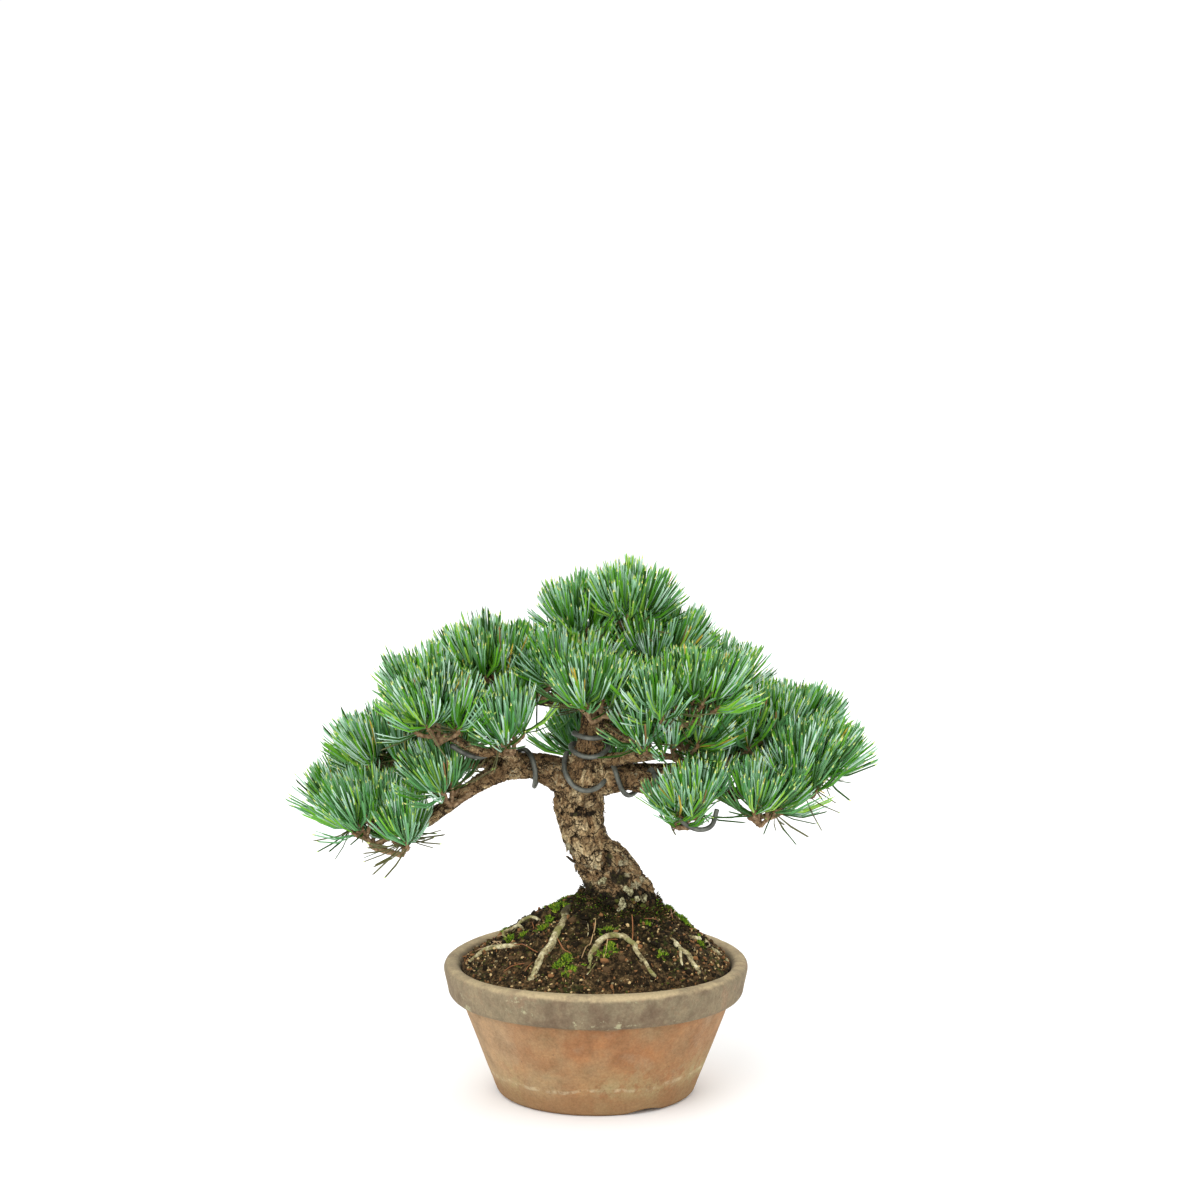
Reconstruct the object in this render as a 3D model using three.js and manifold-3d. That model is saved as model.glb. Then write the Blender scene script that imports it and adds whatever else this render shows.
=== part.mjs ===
// A Japanese white pine kept as a bonsai: a leaning trunk with a flared foot, wired boughs that carry
// clouds of short needles, and a round unglazed clay pot filled with a mound of soil.
// Sizes are millimetres. +X is to the right as the tree is shown, +Y away from the viewer, +Z up.
// All places are measured from the pot's axis on the ground; the last lines move the finished tree
// so that the middle of its outline stands at the origin.
import * as THREE from "three";
import { mergeVertices } from "three/addons/utils/BufferGeometryUtils.js";
import Module from "manifold-3d";

const wasm = await Module();
wasm.setup();

// Driving dimensions
const GAP = 0.3; // between two pieces that rest on each other
const POT = { rim: 91, height: 80.5, foot: 58.6, wall: 81.5, lip: 8.6, warp: 1.3, sides: 48 };
const BAND = { foot: 60, radius: 88.2 }; // the thick band under the rim
const FLOOR = { under: 3.9, top: 10.5, drain: 14, ringIn: 50, ringOut: 56.5 };
const NOTCH = { count: 3, width: 26, height: 3, first: -60 }; // air notches in the foot ring, degrees
const MOUND = { edge: 76, rise: 43, reach: 82, power: 1.7, lean: 10, lump: 1.3, sides: 52 };
const WIRE = { radius: 1.5, slack: 0.4, sides: 5, stepsPerTurn: 12 };
const NEEDLE = { length: 32, open: 84, low: 1.6, high: 1 }; // open: the lowest one's angle, degrees
const SHOOT = { length: 14, radius: 2, sides: 4, twig: 1.4, stem: 1.7, knot: 3.4 };
const GOLDEN = Math.PI * (3 - Math.sqrt(5));
const UP = new THREE.Vector3(0, 0, 1);

const COLOUR = {
  bark: 0x6f5b47,
  root: 0xa79c80,
  needles: 0x4c8557,
  wire: 0x3b3a39,
  soil: 0x33281d,
  clay: 0xb07a56,
};

// The trunk: points up its middle and the radius at each, from the flat cut in the soil to the tip
const TRUNK = {
  points: [
    [13.5, 4, 108], [10.3, 2, 120], [5, 1, 134], [-4.5, -1, 150], [-8.5, -1, 165], [-10, -2, 179],
    [-7, -7, 196], [-3.5, -11, 212], [-1, -8, 227], [1.5, -3, 242], [5, 1, 258], [10, 2, 271], [14, 1, 281],
  ],
  radii: [22, 20, 15.3, 12.2, 12.7, 15, 12, 8.4, 8.4, 6.6, 5, 3.8, 2.4],
};

// The boughs: the limb each leaves and how far along it, the points it bends through, its tip,
// and its radius at foot and tip
const BOUGHS = {
  bough_left: {
    from: "trunk", at: 0.46, radius: [11, 2.8],
    via: [[-24, -4, 194.5], [-39, -6, 199], [-54, -10, 198], [-66, -14, 192], [-79, -18, 184]],
    tip: [-102, -24, 167],
  },
  bough_left_rear: {
    from: "bough_left", at: 0.88, radius: [2.9, 1.7], via: [[-106, -10, 171]], tip: [-132, 6, 166],
  },
  bough_left_mid: {
    from: "bough_left", at: 0.78, radius: [3.2, 1.8], via: [[-90, -8, 187]], tip: [-113, 3, 192],
  },
  bough_left_back: {
    from: "bough_left", at: 0.48, radius: [5, 2.4], via: [[-58, 10, 199]], tip: [-82, 34, 190],
  },
  bough_left_shelf: {
    from: "bough_left", at: 0.46, radius: [5.2, 2.4],
    via: [[-48, -22, 208], [-55, -31, 213.5], [-68, -36.5, 215]],
    tip: [-86, -40, 225],
  },
  bough_left_high: {
    from: "bough_left_shelf", at: 0.57, radius: [3.4, 1.9], via: [[-60, -24, 228]], tip: [-62.5, -10, 245],
  },
  bough_back_left: {
    from: "trunk", at: 0.71, radius: [4.2, 2.1], via: [[-12, 12, 233]], tip: [-36, 30, 231],
  },
  bough_front: {
    from: "trunk", at: 0.66, radius: [3.8, 2.2], via: [[-2, -19, 232]], tip: [-2, -29, 236],
  },
  bough_apex_right: {
    from: "trunk", at: 0.86, radius: [3, 1.8], via: [[17, 4, 258]], tip: [28, 5, 257],
  },
  bough_right_front: {
    from: "trunk", at: 0.66, radius: [4, 2], via: [[11, -17, 222], [24, -26, 219.5]], tip: [47, -31, 230],
  },
  bough_right_upper: {
    from: "trunk", at: 0.53, radius: [5.4, 2.6], via: [[12, -11, 204.5]], tip: [38, -18, 208.5],
  },
  bough_right_high_back: {
    from: "trunk", at: 0.68, radius: [4.4, 2.1], via: [[20, 10, 226]], tip: [52, 27, 228],
  },
  bough_back: {
    from: "trunk", at: 0.7, radius: [4.4, 2.1], via: [[2, 16, 232]], tip: [3, 43, 230],
  },
  bough_back_low: {
    from: "trunk", at: 0.47, radius: [6.4, 2.7], via: [[-4, 20, 187]], tip: [2, 54, 185],
  },
  bough_right: {
    from: "trunk", at: 0.46, radius: [8.4, 2.4],
    via: [[14, -8, 192], [34, -13, 189.5], [60, -15, 186], [88, -11, 184]],
    tip: [114, -6, 185.5],
  },
  bough_right_low: {
    from: "bough_right", at: 0.42, radius: [3.4, 2.1], via: [[43, -20, 182]], tip: [52, -24, 175.5],
  },
  bough_right_outer: {
    from: "bough_right", at: 0.68, radius: [2.8, 1.8], via: [[82, -16, 178]], tip: [90, -17, 171.5],
  },
  bough_right_shelf: {
    from: "bough_right", at: 0.6, radius: [3.4, 1.9], via: [[70, -4, 196]], tip: [86, 8, 205],
  },
  bough_right_back: {
    from: "trunk", at: 0.45, radius: [6, 2.4], via: [[18, 13, 192]], tip: [62, 38, 189],
  },
};

// The masses of needles: the limb each grows from, how far along it (1 is the tip), and its clumps.
// A clump is a small dome of shoots: its middle, the number of shoots and how far out they stand.
const MASSES = {
  needles_left_tip: {
    from: "bough_left", seed: 11,
    clumps: [{ at: [-132, -20, 165], shoots: 4, spread: 13 }, { at: [-114, -28, 158], shoots: 2, spread: 8 }],
  },
  needles_left_rear: {
    from: "bough_left_rear", seed: 12, clumps: [{ at: [-143, 9, 168], shoots: 3, spread: 10 }],
  },
  needles_left_mid: {
    from: "bough_left_mid", seed: 13, clumps: [{ at: [-122, 6, 197], shoots: 4, spread: 14 }],
  },
  needles_left_inner: {
    from: "bough_left", along: 0.74, seed: 14, clumps: [{ at: [-85, -28, 188], shoots: 2, spread: 8 }],
  },
  needles_left_back: {
    from: "bough_left_back", seed: 15, clumps: [{ at: [-92, 44, 194], shoots: 5, spread: 21 }],
  },
  needles_left_shelf: {
    from: "bough_left_shelf", seed: 16,
    clumps: [{ at: [-92, -41, 229], shoots: 3, spread: 10 }, { at: [-96, -24, 238], shoots: 3, spread: 10 }],
  },
  needles_left_shelf_inner: {
    from: "bough_left_shelf", along: 0.5, seed: 17, clumps: [{ at: [-48, -38, 221], shoots: 2, spread: 7 }],
  },
  needles_left_high: {
    from: "bough_left_high", seed: 18, clumps: [{ at: [-63, -9, 251], shoots: 4, spread: 12 }],
  },
  needles_back_left: {
    from: "bough_back_left", seed: 19, clumps: [{ at: [-44, 35, 236], shoots: 5, spread: 18 }],
  },
  needles_front: {
    from: "bough_front", seed: 20, clumps: [{ at: [-2, -37, 241], shoots: 3, spread: 10 }],
  },
  needles_centre_high: {
    from: "trunk", along: 0.8, seed: 21,
    clumps: [{ at: [-15, -9, 253], shoots: 3, spread: 11 }, { at: [-35, 2, 246], shoots: 2, spread: 8 }],
  },
  needles_apex: {
    from: "trunk", seed: 22, clumps: [{ at: [18, 0, 284], shoots: 3, spread: 7 }],
  },
  needles_apex_left: {
    from: "trunk", along: 0.9, seed: 23, clumps: [{ at: [-8, 5, 276], shoots: 3, spread: 9 }],
  },
  needles_apex_right: {
    from: "bough_apex_right", seed: 24, clumps: [{ at: [35, 5, 260], shoots: 3, spread: 9 }],
  },
  needles_right_front: {
    from: "bough_right_front", seed: 25,
    clumps: [{ at: [40, -38, 235], shoots: 2, spread: 8 }, { at: [60, -26, 240], shoots: 3, spread: 10 }],
  },
  needles_centre_low: {
    from: "bough_right_front", along: 0.62, seed: 26, clumps: [{ at: [31, -34, 218], shoots: 2, spread: 6 }],
  },
  needles_right_upper: {
    from: "bough_right_upper", seed: 27, clumps: [{ at: [50, -19, 213], shoots: 3, spread: 10 }],
  },
  needles_right_high_back: {
    from: "bough_right_high_back", seed: 28, clumps: [{ at: [64, 32, 232], shoots: 5, spread: 18 }],
  },
  needles_back: {
    from: "bough_back", seed: 29, clumps: [{ at: [3, 56, 233], shoots: 5, spread: 18 }],
  },
  needles_back_low: {
    from: "bough_back_low", seed: 30, clumps: [{ at: [3, 70, 190], shoots: 5, spread: 20 }],
  },
  needles_right_low: {
    from: "bough_right_low", seed: 31,
    clumps: [{ at: [62, -27, 178], shoots: 2, spread: 8 }, { at: [47, -28, 169], shoots: 1, spread: 0 }],
  },
  needles_right_outer: {
    from: "bough_right_outer", seed: 32, clumps: [{ at: [97, -17, 173], shoots: 3, spread: 8 }],
  },
  needles_right_tip: {
    from: "bough_right", seed: 33,
    clumps: [{ at: [124, -6, 193], shoots: 4, spread: 12 }, { at: [122, -13, 183], shoots: 1, spread: 0 }],
  },
  needles_right_shelf: {
    from: "bough_right_shelf", seed: 34,
    clumps: [{ at: [95, 11, 211], shoots: 2, spread: 9 }, { at: [112, 25, 208], shoots: 4, spread: 13 }],
  },
  needles_right_back: {
    from: "bough_right_back", seed: 35, clumps: [{ at: [76, 46, 193], shoots: 5, spread: 20 }],
  },
};

// Training wires: the limb each is wound on, from where to where, its turns, the angle it starts at
// and how far it dips in front. One ends in a loose tail.
const WIRES = {
  wire_fork: { on: "trunk", from: 0.55, to: 0.53, turns: 0.68, start: 255, dip: 0.06 },
  wire_leader: { on: "trunk", from: 0.57, to: 0.65, turns: 1.8, start: 200, dip: 0.02 },
  wire_left: { on: "bough_left", from: 0.22, to: 0.44, turns: 1.1, start: 180 },
  wire_left_shelf: { on: "bough_left_shelf", from: 0.46, to: 0.95, turns: 0.35, start: 235 },
  wire_right: { on: "bough_right", from: 0.16, to: 0.42, turns: 1.2, start: 260 },
  wire_right_low: {
    on: "bough_right_low", from: 0.2, to: 0.45, turns: 1, start: 60,
    tail: [[46, -33, 177], [53, -35, 170.5], [61, -35, 167.5], [68, -32, 169.5], [71, -29, 178]],
  },
};

// Surface roots on the mound: distance from the pot's axis, compass angle and height above the
// soil at each point, and the root's radius at both ends
const ROOTS = {
  root_left_long: {
    path: [[15, -172, -0.6], [27, -133, 1], [40, -123, 0.9], [56, -123, 0.7], [71, -123, -0.6]],
    radii: [2.8, 2.1],
  },
  root_front_arch: {
    path: [[61, -94, -1.2], [51, -91, 0.8], [44, -78, 1.2], [51, -67, 1], [59, -65, 0.8], [70, -60, -0.8]],
    radii: [2.3, 1.2],
  },
  root_right_front: {
    path: [[48, -30, -0.8], [57, -35, 0.7], [66, -35, 0.9], [76, -37, -1]],
    radii: [1.4, 1.9],
  },
  root_right: {
    path: [[56, -18, -0.8], [64, -12, 0.6], [72, -6, 0.5], [79, 0, -0.8]],
    radii: [1.3, 1.2],
  },
  root_left: {
    path: [[53, -146, -1], [60, -154, 0.8], [68, -167, 0.5], [76, -173, -0.8]],
    radii: [1.9, 1.2],
  },
};

// Seeded random numbers from 0 to 1
function dice(seed) {
  let state = seed >>> 0;
  return () => {
    state = (Math.imul(state, 1664525) + 1013904223) >>> 0;
    return state / 4294967296;
  };
}

const vector = (list) => new THREE.Vector3(...list);
const radians = THREE.MathUtils.degToRad;

// A closed solid from a three.js geometry, and back
function solid(geometry) {
  const bare = geometry.index ? geometry.clone() : geometry;
  bare.deleteAttribute("normal");
  bare.deleteAttribute("uv");
  const merged = mergeVertices(bare, 1e-4);
  return new wasm.Manifold(
    new wasm.Mesh({
      numProp: 3,
      vertProperties: new Float32Array(merged.attributes.position.array),
      triVerts: new Uint32Array(merged.index.array),
    }),
  );
}

function geometryOf(made) {
  const mesh = made.getMesh();
  const geometry = new THREE.BufferGeometry();
  geometry.setAttribute("position", new THREE.BufferAttribute(mesh.vertProperties, 3));
  geometry.setIndex(new THREE.BufferAttribute(mesh.triVerts, 1));
  const flat = geometry.toNonIndexed();
  flat.computeVertexNormals();
  return flat;
}

// The largest piece of a solid: loose scraps are dropped.
function mainBody(made) {
  return made.decompose().reduce((best, piece) => (piece.volume() > best.volume() ? piece : best));
}

const tree = new THREE.Group();

function addNode(name, made, colour, roughness) {
  const material = new THREE.MeshStandardMaterial({ color: colour, roughness, metalness: 0 });
  const mesh = new THREE.Mesh(geometryOf(mainBody(made)), material);
  mesh.name = name;
  tree.add(mesh);
}

// A limb: a smooth spine through its points, with a ring at every step. Each ring has the limb's
// radius there and a frame that is carried along without twisting.
function limbOf(name, points, radii, sides, steps) {
  const spine = new THREE.CatmullRomCurve3(points, false, "catmullrom", 0.5);
  const radiusAt = (t) => {
    const place = Math.min(t, 0.99999) * (radii.length - 1);
    const span = Math.floor(place);
    return THREE.MathUtils.lerp(radii[span], radii[span + 1], place - span);
  };
  const rings = [];
  let front = new THREE.Vector3(0, -1, 0);
  for (let k = 0; k <= steps; k++) {
    const along = spine.getTangent(k / steps);
    front = front.clone().addScaledVector(along, -front.dot(along)).normalize();
    const side = along.clone().cross(front);
    rings.push({ centre: spine.getPoint(k / steps), along, front, side, radius: radiusAt(k / steps) });
  }
  return { name, spine, sides, steps, rings, radiusAt, swell: () => 1 };
}

// The limb as a closed solid: a capped cylinder bent along the spine, grown by a margin if asked
function limbSolid(limb, margin = 0) {
  const shape = new THREE.CylinderGeometry(1, 1, 1, limb.sides, limb.steps);
  const at = shape.attributes.position;
  for (let i = 0; i < at.count; i++) {
    const k = Math.round((at.getY(i) + 0.5) * limb.steps);
    const ring = limb.rings[k];
    const rim = Math.hypot(at.getX(i), at.getZ(i)) > 0.5;
    const angle = Math.atan2(at.getX(i), at.getZ(i));
    const radius = rim ? ring.radius * limb.swell(k / limb.steps, angle) + margin : 0;
    const end = k === 0 ? -margin : k === limb.steps ? margin : 0;
    const point = ring.centre
      .clone()
      .addScaledVector(ring.front, Math.cos(angle) * radius)
      .addScaledVector(ring.side, Math.sin(angle) * radius)
      .addScaledVector(ring.along, end);
    at.setXYZ(i, point.x, point.y, point.z);
  }
  return solid(shape);
}

// The pot: a lathed wall with a thick band, a foot ring with air notches, and a drain hole
function potSolid() {
  const outerAt = (z) => POT.foot + ((POT.wall - POT.foot) * z) / BAND.foot;
  const outline = [
    [FLOOR.drain, FLOOR.under], [FLOOR.ringIn - 1, FLOOR.under], [FLOOR.ringIn, 0], [FLOOR.ringOut, 0],
    [outerAt(1.6), 1.6], [outerAt(BAND.foot - 0.5), BAND.foot - 0.5],
    [BAND.radius - 2, BAND.foot], [BAND.radius, BAND.foot + 2.2],
    [POT.rim, POT.height - 3.2], [POT.rim - 0.7, POT.height - 0.9], [POT.rim - 2.4, POT.height],
    [innerAt(POT.height) + 1.6, POT.height], [innerAt(POT.height - 1.4), POT.height - 1.4],
    [innerAt(FLOOR.top + 2), FLOOR.top + 2], [innerAt(FLOOR.top) - 2, FLOOR.top],
    [FLOOR.drain, FLOOR.top], [FLOOR.drain, FLOOR.under],
  ];
  const wall = new THREE.LatheGeometry(outline.map(([r, z]) => new THREE.Vector2(r, z)), POT.sides);
  wall.rotateX(Math.PI / 2);
  warp(wall);
  let pot = solid(wall);
  const arch = (NOTCH.width ** 2 / 4 + NOTCH.height ** 2) / (2 * NOTCH.height);
  for (let n = 0; n < NOTCH.count; n++) {
    const cut = new THREE.CylinderGeometry(arch, arch, 20, 60);
    cut.translate(0, FLOOR.ringOut - 3, 0);
    cut.rotateZ(radians(NOTCH.first + (360 / NOTCH.count) * n - 90));
    cut.translate(0, 0, NOTCH.height - arch);
    pot = pot.subtract(solid(cut));
  }
  return pot;
}

function innerAt(z) {
  return POT.rim - POT.lip - 0.355 * (POT.height - z);
}

// Hand-thrown clay is never quite level: the rim is high in front and behind, low at the sides.
function warp(geometry) {
  const at = geometry.attributes.position;
  for (let i = 0; i < at.count; i++) {
    const round = 2 * Math.atan2(at.getY(i), at.getX(i));
    const share = Math.max(0, at.getZ(i) / POT.height) ** 3;
    at.setZ(i, at.getZ(i) - POT.warp * share * Math.cos(round));
  }
}

// The height of the soil at a distance and compass angle from the pot's axis
function soilHeight(r, angle) {
  const slope = 1 - (Math.min(r, MOUND.reach) / MOUND.reach) ** MOUND.power;
  const lumps = 1.5 * Math.sin(3 * angle + 0.7) * Math.sin(r / 13) + 1.1 * Math.sin(5 * angle + 2 + r / 9);
  const fade = Math.min(1, r / 20) * Math.min(1, (MOUND.reach - r) / 12);
  const lean = MOUND.lean * (r / MOUND.reach) * Math.cos(angle) * slope;
  const [x, y] = [r * Math.cos(angle), r * Math.sin(angle)];
  const clods = Math.sin(x / 2.9 + 1.3 * Math.sin(y / 7)) * Math.sin(y / 2.7 + 1.1 * Math.sin(x / 6));
  return MOUND.edge + MOUND.rise * slope + lean + (lumps + MOUND.lump * clods) * Math.max(0, fade);
}

function soilSolid() {
  const floor = FLOOR.top + GAP;
  const lining = [FLOOR.top + 2, MOUND.edge - 1].map((z) => [innerAt(z) - GAP, z]);
  const rings = [79, 73, 67, 60, 53, 45, 36, 25].map((r) => [r, MOUND.edge + 5]);
  const outline = [[0, floor], [innerAt(floor) - 2.6, floor], ...lining, ...rings, [0, MOUND.edge + 5]];
  const shape = new THREE.LatheGeometry(outline.map(([r, z]) => new THREE.Vector2(r, z)), MOUND.sides);
  shape.rotateX(Math.PI / 2);
  warp(shape);
  const at = shape.attributes.position;
  for (let i = 0; i < at.count; i++) {
    const r = Math.hypot(at.getX(i), at.getY(i));
    if (at.getZ(i) > MOUND.edge + 2) at.setZ(i, soilHeight(r, Math.atan2(at.getY(i), at.getX(i))));
  }
  return solid(shape);
}

// Capsules stand for limbs, wires, twigs and needles when clearances are tested.
const placed = [];

function between(a, b, c, d) {
  const u = b.clone().sub(a);
  const v = d.clone().sub(c);
  const w = a.clone().sub(c);
  const [uu, uv, vv, uw, vw] = [u.dot(u), u.dot(v), v.dot(v), u.dot(w), v.dot(w)];
  const span = uu * vv - uv * uv;
  let s = span > 1e-9 ? THREE.MathUtils.clamp((uv * vw - vv * uw) / span, 0, 1) : 0;
  const t = THREE.MathUtils.clamp((uv * s + vw) / vv, 0, 1);
  s = THREE.MathUtils.clamp((uv * t - uw) / uu, 0, 1);
  return w.addScaledVector(u, s).addScaledVector(v, -t).length();
}

function capsule(a, b, radius, owner) {
  const middle = a.clone().add(b).multiplyScalar(0.5);
  return { a, b, radius, owner, middle, reach: a.distanceTo(b) / 2 + radius + 1 };
}

function isClear(trial, ...friends) {
  return placed.every(
    (other) =>
      friends.includes(other.owner) ||
      trial.middle.distanceTo(other.middle) > trial.reach + other.reach ||
      between(trial.a, trial.b, other.a, other.b) > trial.radius + other.radius + GAP,
  );
}

// A three-sided stem, and the knot that twigs leave from
function rod(a, b, radius) {
  const shape = new THREE.CylinderGeometry(radius * 0.85, radius, a.distanceTo(b), 3).rotateX(Math.PI / 2);
  const turn = new THREE.Quaternion().setFromUnitVectors(UP, b.clone().sub(a).normalize());
  const middle = a.clone().add(b).multiplyScalar(0.5);
  return solid(shape.applyQuaternion(turn).translate(middle.x, middle.y, middle.z));
}

function knot(at) {
  return solid(new THREE.OctahedronGeometry(SHOOT.knot).translate(at.x, at.y, at.z));
}

// The growth rule: the shoots of a clump are dealt round its middle and lean outwards, and their
// twigs rise from one knot under it.
function shootsOf(clump, roll) {
  const shoots = [];
  const phase = roll() * 2 * Math.PI;
  for (let i = 0; i < clump.shoots; i++) {
    const out = clump.shoots > 1 ? Math.sqrt((i + 0.5) / clump.shoots) : 0;
    const turn = phase + i * GOLDEN;
    const side = new THREE.Vector3(Math.cos(turn) * out, Math.sin(turn) * out, 0);
    const foot = vector(clump.at).addScaledVector(side, clump.spread);
    foot.z += (0.5 - out * out) * clump.spread * 0.5 + (roll() - 0.5) * 3;
    const axis = new THREE.Vector3(foot.x / 300, foot.y / 260, 0).addScaledVector(side, 0.6);
    shoots.push({ foot, axis: axis.setZ(1).normalize() });
  }
  return shoots;
}

// The wood of a mass: stems from the limb to the knot under each clump, and the clump's shoots
function woodOf(name, mass) {
  const limb = limbs[mass.from];
  const roll = dice(mass.seed);
  const along = mass.along ?? 1;
  let start = limb.spine.getPoint(along);
  const stems = [];
  const shoots = [];
  for (const clump of mass.clumps) {
    const hub = vector(clump.at).setZ(clump.at[2] - 2 - 0.7 * clump.spread);
    stems.push({ a: start, b: hub });
    placed.push(capsule(start, hub, SHOOT.stem, name));
    for (const shoot of shootsOf(clump, roll)) {
      const owner = name + shoots.length;
      const top = shoot.foot.clone().addScaledVector(shoot.axis, SHOOT.length);
      placed.push(capsule(hub, hub.clone().lerp(shoot.foot, 0.6), SHOOT.twig, name));
      placed.push(capsule(shoot.foot, top, SHOOT.radius, owner));
      shoots.push({ ...shoot, hub, owner });
    }
    start = hub;
  }
  return { name, stems, shoots, roll };
}

// A shoot: a twig from the knot to its foot, then a slim core of rings set askew, each face of
// which is drawn out into a needle: level ones at the foot, nearly upright ones at the top. A needle
// that would touch another shoot or a limb isn't drawn out.
function shootSolid({ foot, axis, hub, owner }, roll) {
  const side = new THREE.Vector3(1, 0, 0).cross(axis).normalize();
  const other = axis.clone().cross(side);
  const spin = roll() * 2 * Math.PI;
  const points = [];
  const corner = (centre, k, n, radius) => {
    const angle = spin + ((n + k / 2) * 2 * Math.PI) / SHOOT.sides;
    return centre
      .clone()
      .addScaledVector(side, Math.cos(angle) * radius)
      .addScaledVector(other, Math.sin(angle) * radius);
  };
  const needle = (a, b, c) => {
    const seat = a.clone().add(b).add(c).divideScalar(3);
    const height = seat.clone().sub(foot).dot(axis) / SHOOT.length;
    const open = radians(NEEDLE.open) * (1 - height);
    const level = seat.clone().sub(foot).addScaledVector(axis, -height * SHOOT.length);
    const way = level.setLength(Math.sin(open)).addScaledVector(axis, Math.cos(open));
    const length = NEEDLE.length * (0.92 + 0.16 * roll());
    const [knee, tip] = [0.45, 1].map((share) => seat.clone().addScaledVector(way, length * share));
    const room = [capsule(seat, knee, NEEDLE.low, owner), capsule(knee, tip, NEEDLE.high, owner)];
    const drawn = room.every((trial) => isClear(trial, owner));
    if (drawn) placed.push(...room);
    points.push(...(drawn ? [a, b, tip, b, c, tip, c, a, tip] : [a, b, c]));
  };
  const centres = [0, 1, 2].map((k) => foot.clone().addScaledVector(axis, (SHOOT.length * k) / 3));
  const apex = foot.clone().addScaledVector(axis, SHOOT.length);
  for (let n = 0; n < SHOOT.sides; n++) {
    const [a, b] = [n, n + 1].map((m) => corner(hub, 0, m, SHOOT.twig));
    const [c, d] = [n, n + 1].map((m) => corner(foot, 0, m, SHOOT.radius));
    points.push(a, b, d, a, d, c, hub, b, a);
    for (let k = 0; k < 2; k++) {
      const [e, f] = [n, n + 1].map((m) => corner(centres[k], k, m, SHOOT.radius));
      const [g, h] = [n, n + 1].map((m) => corner(centres[k + 1], k + 1, m, SHOOT.radius));
      needle(e, f, g);
      needle(f, h, g);
    }
    needle(corner(centres[2], 2, n, SHOOT.radius), corner(centres[2], 2, n + 1, SHOOT.radius), apex);
  }
  return solid(new THREE.BufferGeometry().setFromPoints(points));
}

// Trunk and boughs, each cut clear of those made before it
const limbs = { trunk: limbOf("trunk", TRUNK.points.map(vector), TRUNK.radii, 12, 24) };
limbs.trunk.swell = (t, angle) => {
  const flare = Math.max(0, 1 - t / 0.22);
  const lobe = (0.55 + 1.8 * t) * Math.max(0, Math.cos(angle - 1.75)) ** 2;
  const buttress = THREE.MathUtils.smoothstep(0.26 - t, 0, 0.04) * lobe;
  const waist = 0.13 * flare * Math.cos(3 * angle + 0.6) + 0.05 * Math.sin(2 * angle + 14 * t);
  return 1 + waist + 0.17 * buttress;
};
for (const [name, { from, at, via, tip, radius }] of Object.entries(BOUGHS)) {
  const points = [limbs[from].spine.getPoint(at), ...via.map(vector), vector(tip)];
  limbs[name] = limbOf(name, points, radius, radius[0] > 7 ? 8 : 6, points.length * 2);
}

let timber = limbSolid(limbs.trunk, GAP);
for (const limb of Object.values(limbs)) {
  const made = limbSolid(limb);
  addNode(limb.name, limb === limbs.trunk ? made : made.subtract(timber), COLOUR.bark, 0.9);
  timber = timber.add(limbSolid(limb, GAP));
  for (let k = 1; k < limb.rings.length; k++) {
    const [low, high] = [limb.rings[k - 1], limb.rings[k]];
    placed.push(capsule(low.centre, high.centre, Math.max(low.radius, high.radius) * 1.03, limb.name));
  }
}

// Training wires, wound round their limbs
for (const [name, wire] of Object.entries(WIRES)) {
  const limb = limbs[wire.on];
  const steps = Math.ceil(wire.turns * WIRE.stepsPerTurn);
  const path = [];
  for (let i = 0; i <= steps; i++) {
    const share = i / steps;
    const angle = radians(wire.start) + 2 * Math.PI * wire.turns * share;
    const dip = (wire.dip ?? 0) * ((1 + Math.cos(angle)) / 2) ** 2;
    const t = THREE.MathUtils.lerp(wire.from, wire.to, share) - dip;
    const k = Math.floor(t * limb.steps);
    const [low, high] = [limb.rings[k], limb.rings[Math.min(k + 1, limb.steps)]];
    const part = t * limb.steps - k;
    const front = low.front.clone().lerp(high.front, part).normalize();
    const side = low.side.clone().lerp(high.side, part).normalize();
    const reach = limb.radiusAt(t) * 1.05 + WIRE.radius + WIRE.slack;
    const middle = low.centre.clone().lerp(high.centre, part);
    middle.addScaledVector(front, Math.cos(angle) * reach);
    path.push(middle.addScaledVector(side, Math.sin(angle) * reach));
  }
  for (const point of wire.tail ?? []) path.push(vector(point));
  const section = new THREE.Shape();
  for (let n = 0; n < WIRE.sides; n++) {
    const angle = (2 * Math.PI * n) / WIRE.sides;
    const corner = [WIRE.radius * Math.cos(angle), WIRE.radius * Math.sin(angle)];
    if (n) section.lineTo(...corner);
    else section.moveTo(...corner);
  }
  const extrudePath = new THREE.CatmullRomCurve3(path);
  const coil = solid(new THREE.ExtrudeGeometry(section, { steps: path.length - 1, extrudePath }));
  addNode(name, coil.subtract(timber), COLOUR.wire, 0.5);
  for (let i = 1; i < path.length; i++) placed.push(capsule(path[i - 1], path[i], WIRE.radius, name));
}

// The wood of every mass comes first, then its needles, each kept clear of all that stands there.
const woods = Object.entries(MASSES).map(([name, mass]) => woodOf(name, mass));
for (const { name, stems, shoots, roll } of woods) {
  const pieces = stems.flatMap(({ a, b }) => [rod(a, b, SHOOT.stem), knot(b)]);
  for (const shoot of shoots) pieces.push(shootSolid(shoot, roll));
  addNode(name, wasm.Manifold.union(pieces).subtract(timber), COLOUR.needles, 0.6);
}

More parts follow.
